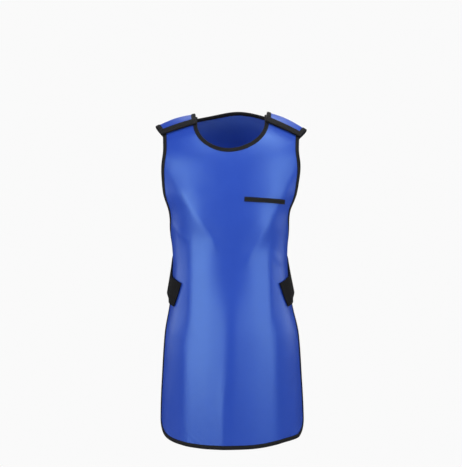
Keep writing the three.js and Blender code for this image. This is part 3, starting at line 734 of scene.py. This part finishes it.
flaps = {"left": flap_wall("left_flap_cover", 1), "right": flap_wall("right_flap_cover", -1)}
back_yoke = yoke_wall()

# %% Tapes and bands of the flaps and the yoke
BAND_OVERHANG = 0.015
BAND_STEPS = 30
BAND_END_SHARES = (1, 0.7, 0.25)
BAND_END_SQUEEZE = (0.15, 0.75, 1)
UNDER_BAND = 1.0


def flap_edge_path(edge, side):
    """One side edge of a flap behind its band, from front to back."""
    down = np.linspace(FLAP_FRONT - BAND_WIDTH + UNDER_BAND, YOKE_TOP, PATH_STEPS)
    return side * edge(down), down


def backwards(path):
    """The same path from its other end."""
    return path[0][::-1], path[1][::-1]


def flap_runs(side):
    """Both side edges of a flap, each with the cloth on the left of its path."""
    neck_side = flap_edge_path(neck_edge, side)
    arm_side = flap_edge_path(arm_edge, side)
    if side > 0:
        return {"neck": backwards(neck_side), "arm": arm_side}
    return {"neck": neck_side, "arm": backwards(arm_side)}


def band_stations():
    """Shares across a flap with a little over at either side edge, and how the band's ends close there."""
    ends = np.array(BAND_END_SHARES) * BAND_OVERHANG
    share = np.concatenate([-ends, np.linspace(0, 1, BAND_STEPS), 1 + ends[::-1]])
    tip = np.array(BAND_END_SQUEEZE)
    squeeze = np.concatenate([tip, np.ones(BAND_STEPS), tip[::-1]])
    return share, squeeze


def band_line(side, inset, share):
    """Places across a flap, some way in from its front end, with the cloth on the left."""
    down = FLAP_FRONT - inset + 0 * share
    wrap = mix(neck_edge(down), arm_edge(down), share)
    return (wrap, down) if side > 0 else (-wrap[::-1], down)


for side, label in ((1, "left"), (-1, "right")):
    for name, run in flap_runs(side).items():
        tapes[label + "_flap_" + name + "_binding"] = make_tape(
            label + "_flap_" + name + "_tape", *run, FLAP_LIFT, FLAP_TOP, cuts=(run[1][0], run[1][-1])
        )
    share, squeeze = band_stations()
    tapes[label + "_shoulder_band"] = make_tape(
        label + "_shoulder_end_band",
        *band_line(side, 0, share),
        FLAP_LIFT,
        FLAP_TOP,
        BAND_WIDTH,
        BAND_WALL,
        squeeze,
        lambda inset: band_line(side, inset, share),
    )

# %% Tapes of the yoke
def yoke_side_path():
    """The yoke's left arm edge, from the flap to the rounded corner."""
    down = np.linspace(YOKE_TOP, YOKE_HEM + YOKE_CORNER, PATH_STEPS)
    return arm_edge(down), down


def yoke_hem_path():
    """The yoke's lower edge from the left corner to the right one."""
    turn = np.linspace(np.pi / 2, -np.pi / 2, PATH_STEPS)
    wrap = arm_edge(YOKE_HEM + YOKE_CORNER) * np.sin(turn)
    return wrap, yoke_lower_edge(wrap)


def yoke_neck_path():
    """The yoke's neckline from right to left, and on over the ends of the flaps' tapes."""
    overlap = np.degrees(TAPE_WIDTH / form["half_width"](YOKE_TOP))
    wrap = np.linspace(-1, 1, PATH_STEPS) * (neck_edge(YOKE_TOP) + overlap)
    return wrap, yoke_neck(wrap)


yoke_round = joined(yoke_side_path(), yoke_hem_path(), other_side(yoke_side_path()))
tapes["yoke_edge_binding"] = make_tape(
    "yoke_edge_tape", *yoke_round, FLAP_LIFT, FLAP_TOP, cuts=(YOKE_TOP, YOKE_TOP)
)
tapes["yoke_neck_binding"] = make_tape("yoke_neck_tape", *yoke_neck_path(), FLAP_LIFT, FLAP_TOP)

# %% [markdown]
# ## Waist belt and pocket mouth
# The belt is broad black webbing that runs round the back and closes on the front panel with slanted
# ends. It stands off a little at the sides, where it leaves the panel. The chest pocket shows only the
# black band of its mouth.

# %% Belt
BELT_LIFT = 5.2
BELT_WALL = 2.2
BELT_TOP_END = 54
BELT_BOTTOM_END = 64.5
BELT_BACK = 180
BELT_STEPS = 150
BELT_ACROSS = 26
BELT_ROUND = 0.75
BELT_END_REACH = 0.002
BELT_EDGE_REACH = 0.02
BELT_RIB_WIDTH = 90
SECOND_ROW_DROP = 0.35
BELT_COLUMNS = ("share", "top", "bottom", "flare")
BELT = (
    (0, 491, 555, 0.3),
    (0.15, 477, 547, 1),
    (0.25, 466, 538, 3),
    (0.36, 420, 521, 17),
    (0.5, 402, 512, 13),
    (0.7, 397, 505, 4),
    (1, 395, 500, 0),
)
belt_curve = {name: curve(BELT, BELT_COLUMNS, "share", name) for name in BELT_COLUMNS[1:]}


def soft_edge(count, reach):
    """Shares from 0 to 1 with two close steps at either end, where a wall is rounded."""
    inside = np.linspace(reach, 1 - reach, count - 3)
    return np.concatenate([[0, reach / 3], inside, [1 - reach / 3, 1]])


def belt_places(share, over):
    """Wrap, down and flare of the belt: share goes round it from 0 to 2, over goes up it from 0 to 1."""
    half = np.where(share > 1, 2 - share, share)
    end = mix(BELT_BOTTOM_END, BELT_TOP_END, over)
    wrap = mix(end, BELT_BACK, half)
    down = mix(belt_curve["bottom"](half), belt_curve["top"](half), over)
    flare = belt_curve["flare"](half) * (1 - over)
    return np.where(share > 1, 2 * BELT_BACK - wrap, wrap), down, flare


def rounded(count_down, count_across, depth):
    """How much a wall's skins come together at its four edges."""
    def edge(count):
        drop = np.zeros(count)
        drop[[0, -1]] = 1
        drop[[1, -2]] = SECOND_ROW_DROP
        return drop

    return depth * np.maximum(edge(count_down)[:, None], edge(count_across)[None, :])


belt_share = 2 * soft_edge(BELT_STEPS, BELT_END_REACH)[None, :]
belt_over = soft_edge(BELT_ACROSS, BELT_EDGE_REACH)[:, None]
belt_wrap, belt_down, belt_flare = belt_places(belt_share, belt_over)
belt_round = rounded(*belt_wrap.shape, BELT_ROUND)
belt_steps = np.linalg.norm(np.diff(cloth(belt_wrap, belt_down), axis=1), axis=-1)
belt_run = np.concatenate([np.zeros((len(belt_steps), 1)), np.cumsum(belt_steps, axis=1)], axis=1)
belt_uv = np.stack([belt_over * BELT_RIB_WIDTH + 0 * belt_run, belt_run], axis=-1)
waist_belt = make_wall(
    "waist_belt_webbing",
    lifted(belt_wrap, belt_down, BELT_LIFT + BELT_WALL + belt_flare - belt_round),
    lifted(belt_wrap, belt_down, BELT_LIFT + belt_flare + belt_round),
    belt_uv,
)
print("belt length, m:", round(float(belt_run[0, -1]) * MM, 3))

# %% Pocket mouth
POCKET_GAP = 0.8
POCKET_WALL = 1.2
POCKET_HEIGHT = 12
POCKET_STEPS = 60
POCKET_ROWS = 12
POCKET_ROUND = 0.4
POCKET_END_REACH = 0.01
POCKET_EDGE_REACH = 0.08
POCKET_LENGTH = 110
POCKET_COLUMNS = ("share", "wrap", "down")
POCKET = (
    (0, 12.6, 269),
    (0.5, 31.8, 270.2),
    (1, 51.6, 269.6),
)
pocket_curve = {name: curve(POCKET, POCKET_COLUMNS, "share", name) for name in POCKET_COLUMNS[1:]}


def pocket_places(share, over):
    """Places on the pocket band, with ends that are straight up and down."""
    middle = pocket_curve["down"](share)
    aside = form["half_width"](middle) * np.sin(np.radians(pocket_curve["wrap"](share)))
    down = middle + POCKET_HEIGHT * (0.5 - over)
    return np.degrees(np.arcsin(aside / form["half_width"](down))), down


pocket_share = soft_edge(POCKET_STEPS, POCKET_END_REACH)[None, :]
pocket_over = soft_edge(POCKET_ROWS, POCKET_EDGE_REACH)[:, None]
pocket_wrap, pocket_down = pocket_places(pocket_share, pocket_over)
pocket_lift = PANEL_WALL + POCKET_GAP
pocket_round = rounded(*pocket_wrap.shape, POCKET_ROUND)
pocket_uv = np.stack(
    np.broadcast_arrays(pocket_over * POCKET_HEIGHT, pocket_share * POCKET_LENGTH), axis=-1
)
tapes["pocket_band"] = make_wall(
    "pocket_mouth_band",
    lifted(pocket_wrap, pocket_down, pocket_lift + POCKET_WALL - pocket_round),
    lifted(pocket_wrap, pocket_down, pocket_lift + pocket_round),
    pocket_uv,
)

# %% [markdown]
# ## Writing shaders as sums
# A node tree is a formula. A small class wraps one socket, and its operators add Math nodes, so that a
# weave can be written as a line of Python. Colours go through a Mix node instead, because a Math node
# would turn them grey.

# %% A socket that knows arithmetic
class Value:
    """One socket of a node tree, with the sums that the finishes need."""

    def __init__(self, tree, socket):
        self.tree = tree
        self.socket = socket

    def node(self, kind, settings=(), **sockets):
        """Another node: its type, its settings, and its sockets' values or links by name or number."""
        made = self.tree.nodes.new(kind)
        for name, setting in dict(settings).items():
            setattr(made, name, setting)
        for name, value in sockets.items():
            key = int(name[1:]) if name[0] == "_" else name.replace("_", " ")
            if isinstance(value, Value):
                self.tree.links.new(value.socket, made.inputs[key])
            else:
                made.inputs[key].default_value = value
        return made

    def take(self, made, output=0):
        """An output of a node as a value."""
        return Value(self.tree, made.outputs[output])

    def sum(self, operation, first, second=0.0):
        return self.take(self.node("ShaderNodeMath", {"operation": operation}, _0=first, _1=second))

    def __add__(self, other):
        return self.sum("ADD", self, other)

    def __radd__(self, other):
        return self.sum("ADD", other, self)

    def __mul__(self, other):
        return self.sum("MULTIPLY", self, other)

    def sine(self):
        return self.sum("SINE", self)

    def blend(self, low, high):
        """A colour between two, by this value."""
        made = self.node("ShaderNodeMix", {"data_type": "RGBA"}, _0=self)
        for number, colour in ((6, low), (7, high)):
            made.inputs[number].default_value = (*colour, 1)
        return self.take(made, 2)


def new_finish(name):
    """An empty material with a Principled shader, its cloth coordinates and its object coordinates."""
    material = bpy.data.materials.new(name)
    material.use_nodes = True
    tree = material.node_tree
    shader = tree.nodes["Principled BSDF"]
    start = Value(tree, None)
    coordinates = start.node("ShaderNodeTexCoord")
    cloth_map = start.node("ShaderNodeUVMap", {"uv_map": "cloth"})
    parts = start.node("ShaderNodeSeparateXYZ", _0=start.take(cloth_map))
    return material, shader, start.take(parts, 0), start.take(parts, 1), start.take(coordinates, "Object")


print("shader sums ready")

# %% [markdown]
# ## Blue cover
# The cover is nylon with a smooth coating: satin, a little glossy, with a weave too fine to see from far
# off. Seen close, each thread is about half a millimetre. A bump from two crossed sine waves makes the
# weave, and slow noise changes the colour and the gloss a little, as handling does.

# %% Blue cover finish
TURN = 2 * np.pi


def wave(length, pitch):
    """A sine wave along one coordinate of the cloth, with its pitch in metres."""
    return (length * (TURN / pitch)).sine()


def noise(place, scale, detail, roughness=0.5):
    """Soft noise on the object's own coordinates."""
    return place.take(
        place.node("ShaderNodeTexNoise", Vector=place, Scale=scale, Detail=detail, Roughness=roughness)
    )


def finished(material, shader, colour, roughness, bump, shine):
    """A material with its colour, roughness, bump and shine joined to its shader."""
    tree = material.node_tree
    tree.links.new(colour.socket, shader.inputs["Base Color"])
    tree.links.new(roughness.socket, shader.inputs["Roughness"])
    tree.links.new(bump.outputs[0], shader.inputs["Normal"])
    shader.inputs["Specular IOR Level"].default_value = shine
    return material


def blue_cover():
    material, shader, across, along, place = new_finish("blue_cover_satin")
    thread = 0.00055
    weave = wave(across, thread) * wave(along, thread)
    cloud = noise(place, scale=9.0, detail=3.0, roughness=0.55)
    rub = noise(place, scale=55.0, detail=4.0, roughness=0.6)
    tone = cloud * 0.7 + rub * 0.3
    colour = tone.blend((0.018, 0.055, 0.40), (0.026, 0.075, 0.48))
    roughness = 0.29 + rub * 0.08
    height = weave * 0.5 + rub * 1.2
    bump = place.node("ShaderNodeBump", Strength=0.35, Distance=0.00012, Height=height)
    shader.inputs["Specular Tint"].default_value = (0.4, 0.72, 1.0, 1)
    return finished(material, shader, colour, roughness, bump, shine=0.95)


# %% [markdown]
# ## Black tape, black webbing and thread
# Binding tape is woven with fine ribs straight across it. Elastic webbing has stronger ribs along its
# length and a fine texture across. Both are matte, with a little lint that lifts the black. The thread is
# smooth and twisted.

# %% Black finishes
def black_tape():
    material, shader, around, along, place = new_finish("black_tape_weave")
    rib = wave(along, pitch=0.0011)
    cross = wave(around, pitch=0.0007)
    lint = noise(place, scale=420.0, detail=3.0, roughness=0.7)
    worn = noise(place, scale=22.0, detail=2.0)
    tone = lint * 0.6 + worn * 0.4
    colour = tone.blend((0.004, 0.004, 0.005), (0.011, 0.011, 0.013))
    roughness = 0.62 + lint * 0.2
    height = rib * 0.7 + cross * 0.3 + lint * 0.8
    bump = place.node("ShaderNodeBump", Strength=0.6, Distance=0.00018, Height=height)
    return finished(material, shader, colour, roughness, bump, shine=0.2)


def black_webbing():
    material, shader, across, along, place = new_finish("black_webbing_ribs")
    rib = wave(across, pitch=0.0026)
    pick = wave(along, pitch=0.0009)
    lint = noise(place, scale=380.0, detail=3.0, roughness=0.7)
    colour = lint.blend((0.003, 0.003, 0.004), (0.009, 0.009, 0.010))
    roughness = 0.72 + lint * 0.2
    height = rib + pick * 0.35 + lint * 0.6
    bump = place.node("ShaderNodeBump", Strength=0.7, Distance=0.0003, Height=height)
    return finished(material, shader, colour, roughness, bump, shine=0.15)


def black_thread():
    material = bpy.data.materials.new("black_thread")
    material.use_nodes = True
    tree = material.node_tree
    shader = tree.nodes["Principled BSDF"]
    start = Value(tree, None)
    place = start.take(start.node("ShaderNodeTexCoord"), "Object")
    fluff = noise(place, scale=900.0, detail=2.0)
    colour = fluff.blend((0.012, 0.012, 0.014), (0.03, 0.03, 0.034))
    tree.links.new(colour.socket, shader.inputs["Base Color"])
    shader.inputs["Roughness"].default_value = 0.5
    return material


finishes = {
    "blue_cover": blue_cover(),
    "black_tape": black_tape(),
    "black_belt": black_webbing(),
    "thread": black_thread(),
}
for piece in [front_panel, back_yoke, *flaps.values()]:
    piece.data.materials.append(finishes["blue_cover"])
for piece in tapes.values():
    piece.data.materials.append(finishes["black_tape"])
waist_belt.data.materials.append(finishes["black_belt"])
print("finishes:", sorted(finishes))

# %% [markdown]
# ## Stitches
# Every tape is sewn through both leaves with one row of lockstitch, about seven stitches to the inch. A
# stitch is a short bead of thread that lies on the tape. Copying one bead along a path is what Geometry
# Nodes do best: the path is resampled to the stitch length, and a small ball, stretched to a bead, is set
# on every point.

# %% A node tree that sews along a path
BEAD_SEGMENTS = 8
BEAD_RINGS = 4
BEAD_RADIUS = 0.5


def sewing_tree():
    """A tree that sets a bead of thread on every point of a path."""
    tree = bpy.data.node_groups.new("sew_along_path", "GeometryNodeTree")
    face = tree.interface
    face.new_socket("Geometry", in_out="INPUT", socket_type="NodeSocketGeometry")
    for name in ("Pitch", "Length", "Width", "Height"):
        face.new_socket(name, in_out="INPUT", socket_type="NodeSocketFloat")
    face.new_socket("Material", in_out="INPUT", socket_type="NodeSocketMaterial")
    face.new_socket("Geometry", in_out="OUTPUT", socket_type="NodeSocketGeometry")
    start = Value(tree, None)
    given = start.node("NodeGroupInput")
    path = start.node("GeometryNodeMeshToCurve", Mesh=start.take(given, "Geometry"))
    by_length = {"mode": "LENGTH"}
    pitch = start.take(given, "Pitch")
    spaced = start.node("GeometryNodeResampleCurve", by_length, Curve=start.take(path), Length=pitch)
    ball = start.node(
        "GeometryNodeMeshUVSphere", Segments=BEAD_SEGMENTS, Rings=BEAD_RINGS, Radius=BEAD_RADIUS
    )
    sizes = {axis: start.take(given, name) for axis, name in zip("XYZ", ("Length", "Width", "Height"))}
    size = start.node("ShaderNodeCombineXYZ", **sizes)
    bead = start.node("GeometryNodeTransform", Geometry=start.take(ball, "Mesh"), Scale=start.take(size))
    tangent = start.node("GeometryNodeInputTangent")
    upward = start.node("GeometryNodeInputNamedAttribute", {"data_type": "FLOAT_VECTOR"}, Name="upward")
    axes = {"primary_axis": "X", "secondary_axis": "Z"}
    turned = start.node("FunctionNodeAxesToRotation", axes, _0=start.take(tangent), _1=start.take(upward))
    sewn = start.node(
        "GeometryNodeInstanceOnPoints",
        Points=start.take(spaced),
        Instance=start.take(bead),
        Rotation=start.take(turned),
    )
    real = start.node("GeometryNodeRealizeInstances", _0=start.take(sewn))
    smooth = start.node("GeometryNodeSetShadeSmooth", _0=start.take(real))
    thread = start.take(given, "Material")
    finish = start.node("GeometryNodeSetMaterial", _0=start.take(smooth), Material=thread)
    start.node("NodeGroupOutput", _0=start.take(finish))
    return tree


sewing = sewing_tree()
print("sewing nodes:", len(sewing.nodes))

# %% Sewing helper
STITCH_PITCH = 3.9
STITCH_LENGTH = 3.2
STITCH_WIDTH = 0.62
STITCH_HEIGHT = 0.5
SEAM_SPACING = 2.0


def seam_line(wrap, down, inset, lift):
    """Points and upward directions of a seam, some way in from an edge path."""
    wrap, down = resampled(wrap, down, SEAM_SPACING)
    if inset:
        wrap, down = moved(wrap, down, inward_along(wrap, down) * inset)
    return lifted(wrap, down, lift), outward(cloth, wrap, down)


def sew(name, seams):
    """One mesh with the stitches of several seams."""
    points = np.concatenate([seam[0] for seam in seams]) * MM
    upward = np.concatenate([seam[1] for seam in seams])
    edges = []
    start = 0
    for seam in seams:
        count = len(seam[0])
        edges += [(start + number, start + number + 1) for number in range(count - 1)]
        start += count
    mesh = bpy.data.meshes.new(name + "_path")
    mesh.from_pydata(points.tolist(), edges, [])
    attribute = mesh.attributes.new("upward", "FLOAT_VECTOR", "POINT")
    attribute.data.foreach_set("vector", upward.astype(np.float32).ravel())
    path = bpy.data.objects.new(name + "_path", mesh)
    bpy.context.scene.collection.objects.link(path)
    modifier = path.modifiers.new("sew", "NODES")
    modifier.node_group = sewing
    values = {
        "Pitch": STITCH_PITCH * MM,
        "Length": STITCH_LENGTH * MM,
        "Width": STITCH_WIDTH * MM,
        "Height": STITCH_HEIGHT * MM,
        "Material": finishes["thread"],
    }
    for item in sewing.interface.items_tree:
        if item.in_out == "INPUT" and item.name in values:
            modifier[item.identifier] = values[item.name]
    ready = bpy.context.evaluated_depsgraph_get()
    made = bpy.data.meshes.new_from_object(path.evaluated_get(ready))
    made.name = name
    piece = bpy.data.objects.new(name, made)
    bpy.context.scene.collection.objects.link(piece)
    bpy.data.objects.remove(path)
    print(name, "triangles:", sum(len(face.vertices) - 2 for face in made.polygons))
    return piece


# %% Rows of stitches
SEAM_INSET = 7.4
SEAM_END = 0.02
BAND_SEAM_INSET = 2.5
POCKET_SEAM_STEPS = 80
POCKET_SEAM_ROWS = (0.15, 0.85)
JOIN_CLEARANCE = 2
PANEL_SEAM = PANEL_WALL + GAP + TAPE_WALL
FLAP_SEAM = FLAP_TOP + GAP + TAPE_WALL
BAND_SEAM = FLAP_TOP + GAP + BAND_WALL
JOIN_SEAM = 3.0
JOIN_MARGIN = np.degrees((TAPE_WIDTH + JOIN_CLEARANCE) / form["half_width"](YOKE_TOP))
panel_paths = [left_armhole_path, other_side(left_armhole_path), hem_edge_path, neck_path()]
panel_seams = [seam_line(*path, SEAM_INSET, PANEL_SEAM) for path in panel_paths]
panel_stitches = sew("front_panel_stitches", panel_seams)
shoulder_seams = [seam_line(*path, SEAM_INSET, FLAP_SEAM) for path in (yoke_round, yoke_neck_path())]
inside = np.linspace(SEAM_END, 1 - SEAM_END, BAND_STEPS)
for side in (1, -1):
    shoulder_seams += [seam_line(*run, SEAM_INSET, FLAP_SEAM) for run in flap_runs(side).values()]
    for inset in (BAND_SEAM_INSET, BAND_WIDTH - BAND_SEAM_INSET):
        shoulder_seams.append(seam_line(*band_line(side, inset, inside), 0, BAND_SEAM))
    for reach in (JOIN_SEAM, -JOIN_SEAM):
        join_down = YOKE_TOP + reach + 0 * inside
        from_neck = neck_edge(join_down) + JOIN_MARGIN
        to_arm = arm_edge(join_down) - JOIN_MARGIN
        shoulder_seams.append(seam_line(side * mix(from_neck, to_arm, inside), join_down, 0, FLAP_TOP))
shoulder_stitches = sew("shoulder_stitches", shoulder_seams)
pocket_line = np.linspace(SEAM_END, 1 - SEAM_END, POCKET_SEAM_STEPS)
pocket_seams = []
for over in POCKET_SEAM_ROWS:
    pocket_seams.append(seam_line(*pocket_places(pocket_line, over), 0, pocket_lift + POCKET_WALL))
pocket_stitches = sew("pocket_stitches", pocket_seams)

# %% [markdown]
# ## Camera, floor and light
# The apron is seen level from the front, from far enough away that it hardly tapers. It hangs at the
# height where it is worn, so the pale floor lies well below it. Satin shows its folds by what it mirrors,
# so two tall lamps stand to the left and right of the camera, where the slopes of the folds mirror them.
# A broad lamp above the front gives most of the plain light and lets it fall off towards the hem, and
# lamps at the sides, above the back and behind finish the other views. A white surround closes the
# studio. Only the camera sees it, so that it doesn't flatten the folds.

# %% Camera
CAMERA_PLACE = (0, -3.56, -0.304)
VIEW_HEIGHT = 1.2609
VIEW_DISTANCE = 3.5
SENSOR = 36.0
camera_data = bpy.data.cameras.new("camera")
camera_data.sensor_width = SENSOR
camera_data.lens = SENSOR * VIEW_DISTANCE / VIEW_HEIGHT
camera = bpy.data.objects.new("camera", camera_data)
camera.location = CAMERA_PLACE
camera.rotation_euler = (np.pi / 2, 0, 0)
bpy.context.scene.collection.objects.link(camera)
bpy.context.scene.camera = camera
print("lens, mm:", round(camera_data.lens, 2))

# %% Floor and white surround
FLOOR_HEIGHT = -1.42
FLOOR_RADIUS = 2.4
FLOOR_SIDES = 96
FLOOR_TONE = 0.72
FLOOR_ROUGHNESS = 0.8
FADE_START = 0.3
SURROUND_RADIUS = 14.0
SURROUND_RINGS = 24
SURROUND_SIDES = 48
WHITE = 0.955


def plain_white(name, fade):
    """A pale finish that glows as the surround does, everywhere or only towards the floor's edge."""
    material = bpy.data.materials.new(name)
    material.use_nodes = True
    tree = material.node_tree
    start = Value(tree, None)
    glow = start.node("ShaderNodeEmission", Strength=WHITE)
    glow.inputs["Color"].default_value = (1, 1, 1, 1)
    output = tree.nodes["Material Output"]
    if not fade:
        tree.links.new(glow.outputs[0], output.inputs[0])
        return material
    paint = tree.nodes["Principled BSDF"]
    paint.inputs["Base Color"].default_value = (FLOOR_TONE, FLOOR_TONE, FLOOR_TONE, 1)
    paint.inputs["Roughness"].default_value = FLOOR_ROUGHNESS
    place = start.take(start.node("ShaderNodeTexCoord"), "Object")
    away = place.take(place.node("ShaderNodeVectorMath", {"operation": "LENGTH"}, _0=place), "Value")
    low = (FLOOR_HEIGHT**2 + FADE_START**2) ** 0.5
    high = (FLOOR_HEIGHT**2 + FLOOR_RADIUS**2) ** 0.5
    soft = {"interpolation_type": "SMOOTHSTEP"}
    share = away.take(away.node("ShaderNodeMapRange", soft, Value=away, From_Min=low, From_Max=high))
    both = share.node("ShaderNodeMixShader", _0=share)
    tree.links.new(paint.outputs[0], both.inputs[1])
    tree.links.new(glow.outputs[0], both.inputs[2])
    tree.links.new(both.outputs[0], output.inputs[0])
    return material


def add_stage(name, mesh, material):
    mesh.materials.append(material)
    mesh.shade_smooth()
    piece = bpy.data.objects.new(name, mesh)
    bpy.context.scene.collection.objects.link(piece)
    return piece


def disc_mesh(name, radius, height, sides):
    turn = np.linspace(0, TURN, sides, endpoint=False)
    rim = np.stack([radius * np.cos(turn), radius * np.sin(turn), height + 0 * turn], 1)
    mesh = bpy.data.meshes.new(name)
    mesh.from_pydata(rim.tolist(), [], [list(range(sides))])
    return mesh


def dome_mesh(name, radius, rings, sides):
    turn = np.linspace(0, TURN, sides, endpoint=False)[None, :]
    rise = np.linspace(-np.pi / 2, np.pi / 2, rings + 2)[1:-1, None]
    level = np.cos(rise)
    points = np.stack(np.broadcast_arrays(level * np.cos(turn), level * np.sin(turn), np.sin(rise)), -1)
    number = np.arange(rings * sides).reshape(rings, sides)
    after = np.roll(number, -1, axis=1)
    faces = np.stack([number[:-1], number[1:], after[1:], after[:-1]], -1).reshape(-1, 4).tolist()
    faces += [number[0].tolist(), number[-1][::-1].tolist()]
    mesh = bpy.data.meshes.new(name)
    mesh.from_pydata((points.reshape(-1, 3) * radius).tolist(), [], faces)
    return mesh


floor_mesh = disc_mesh("floor", FLOOR_RADIUS, FLOOR_HEIGHT, FLOOR_SIDES)
floor = add_stage("floor", floor_mesh, plain_white("pale_floor", True))
surround_mesh = dome_mesh("surround", SURROUND_RADIUS, SURROUND_RINGS, SURROUND_SIDES)
surround = add_stage("surround", surround_mesh, plain_white("white_surround", False))
surround.visible_diffuse = False
surround.visible_glossy = False
surround.visible_transmission = False
surround.visible_shadow = False
print("stage:", floor.name, surround.name)

# %% Lamps
LAMP_COLUMNS = ("name", "turn", "height", "distance", "width", "tall", "watts")
LAMPS = (
    ("top_front", 16, 1.4, 1.1, 2.0, 0.9, 26.5),
    ("key_left", -38, -0.2, 1.9, 1.1, 1.4, 18.4),
    ("key_right", 40, 0.0, 1.9, 1.1, 1.6, 15.2),
    ("side_left", -102, 0.4, 2.2, 1.5, 2.0, 16.5),
    ("side_right", 102, 0.4, 2.2, 1.5, 2.0, 14),
    ("top_back", 168, 1.7, 0.9, 1.6, 0.8, 17),
    ("back_fill", 180, 0.6, 3.0, 2.0, 1.6, 30),
)
AIM = np.array([0, 0, -0.15])
WORLD_LIGHT = 0.02


def add_lamp(name, turn, height, distance, width, tall, watts):
    """A tall soft lamp at an angle round the apron from the camera's side, aimed at its middle."""
    angle = np.radians(turn)
    place = np.array([np.sin(angle) * distance, -np.cos(angle) * distance, height])
    light = bpy.data.lights.new(name, "AREA")
    light.shape = "RECTANGLE"
    light.size = width
    light.size_y = tall
    light.energy = watts
    lamp = bpy.data.objects.new(name, light)
    lamp.location = place
    away = place - AIM
    level = np.hypot(away[0], away[1])
    lamp.rotation_euler = (np.arctan2(level, away[2]), 0, np.arctan2(away[0], -away[1]))
    lamp.visible_camera = False
    bpy.context.scene.collection.objects.link(lamp)
    return lamp


for row in LAMPS:
    add_lamp(**dict(zip(LAMP_COLUMNS, row)))
world = bpy.data.worlds.new("studio")
world.use_nodes = True
world.node_tree.nodes["Background"].inputs["Color"].default_value = (1, 1, 1, 1)
world.node_tree.nodes["Background"].inputs["Strength"].default_value = WORLD_LIGHT
bpy.context.scene.world = world
bpy.context.scene.view_settings.view_transform = "Standard"
print("lamps:", len(LAMPS))

# %% [markdown]
# ## Tie the pieces to the frame
# Each new mesh takes the place of one solid and rides on the apron's only body. The area of one skin
# of each cover and of the belt is printed.

# %% Replace and ride
covers = {
    "front_panel": front_panel,
    "left_shoulder_flap": flaps["left"],
    "right_shoulder_flap": flaps["right"],
    "back_yoke": back_yoke,
}
slots = {"blue_cover": covers, "black_tape": tapes, "black_belt": {"waist_belt": waist_belt}}
for slot, pieces in slots.items():
    for node, piece in pieces.items():
        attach(piece, "root")
        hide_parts(node)
for piece in (panel_stitches, shoulder_stitches, pocket_stitches):
    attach(piece, "root")


def wall_area(piece):
    """The area of one skin of a closed wall, in square metres."""
    return sum(face.area for face in piece.data.polygons) / 2


for node, piece in {**covers, "waist_belt": waist_belt}.items():
    print(node, "area, m2:", round(wall_area(piece), 4))
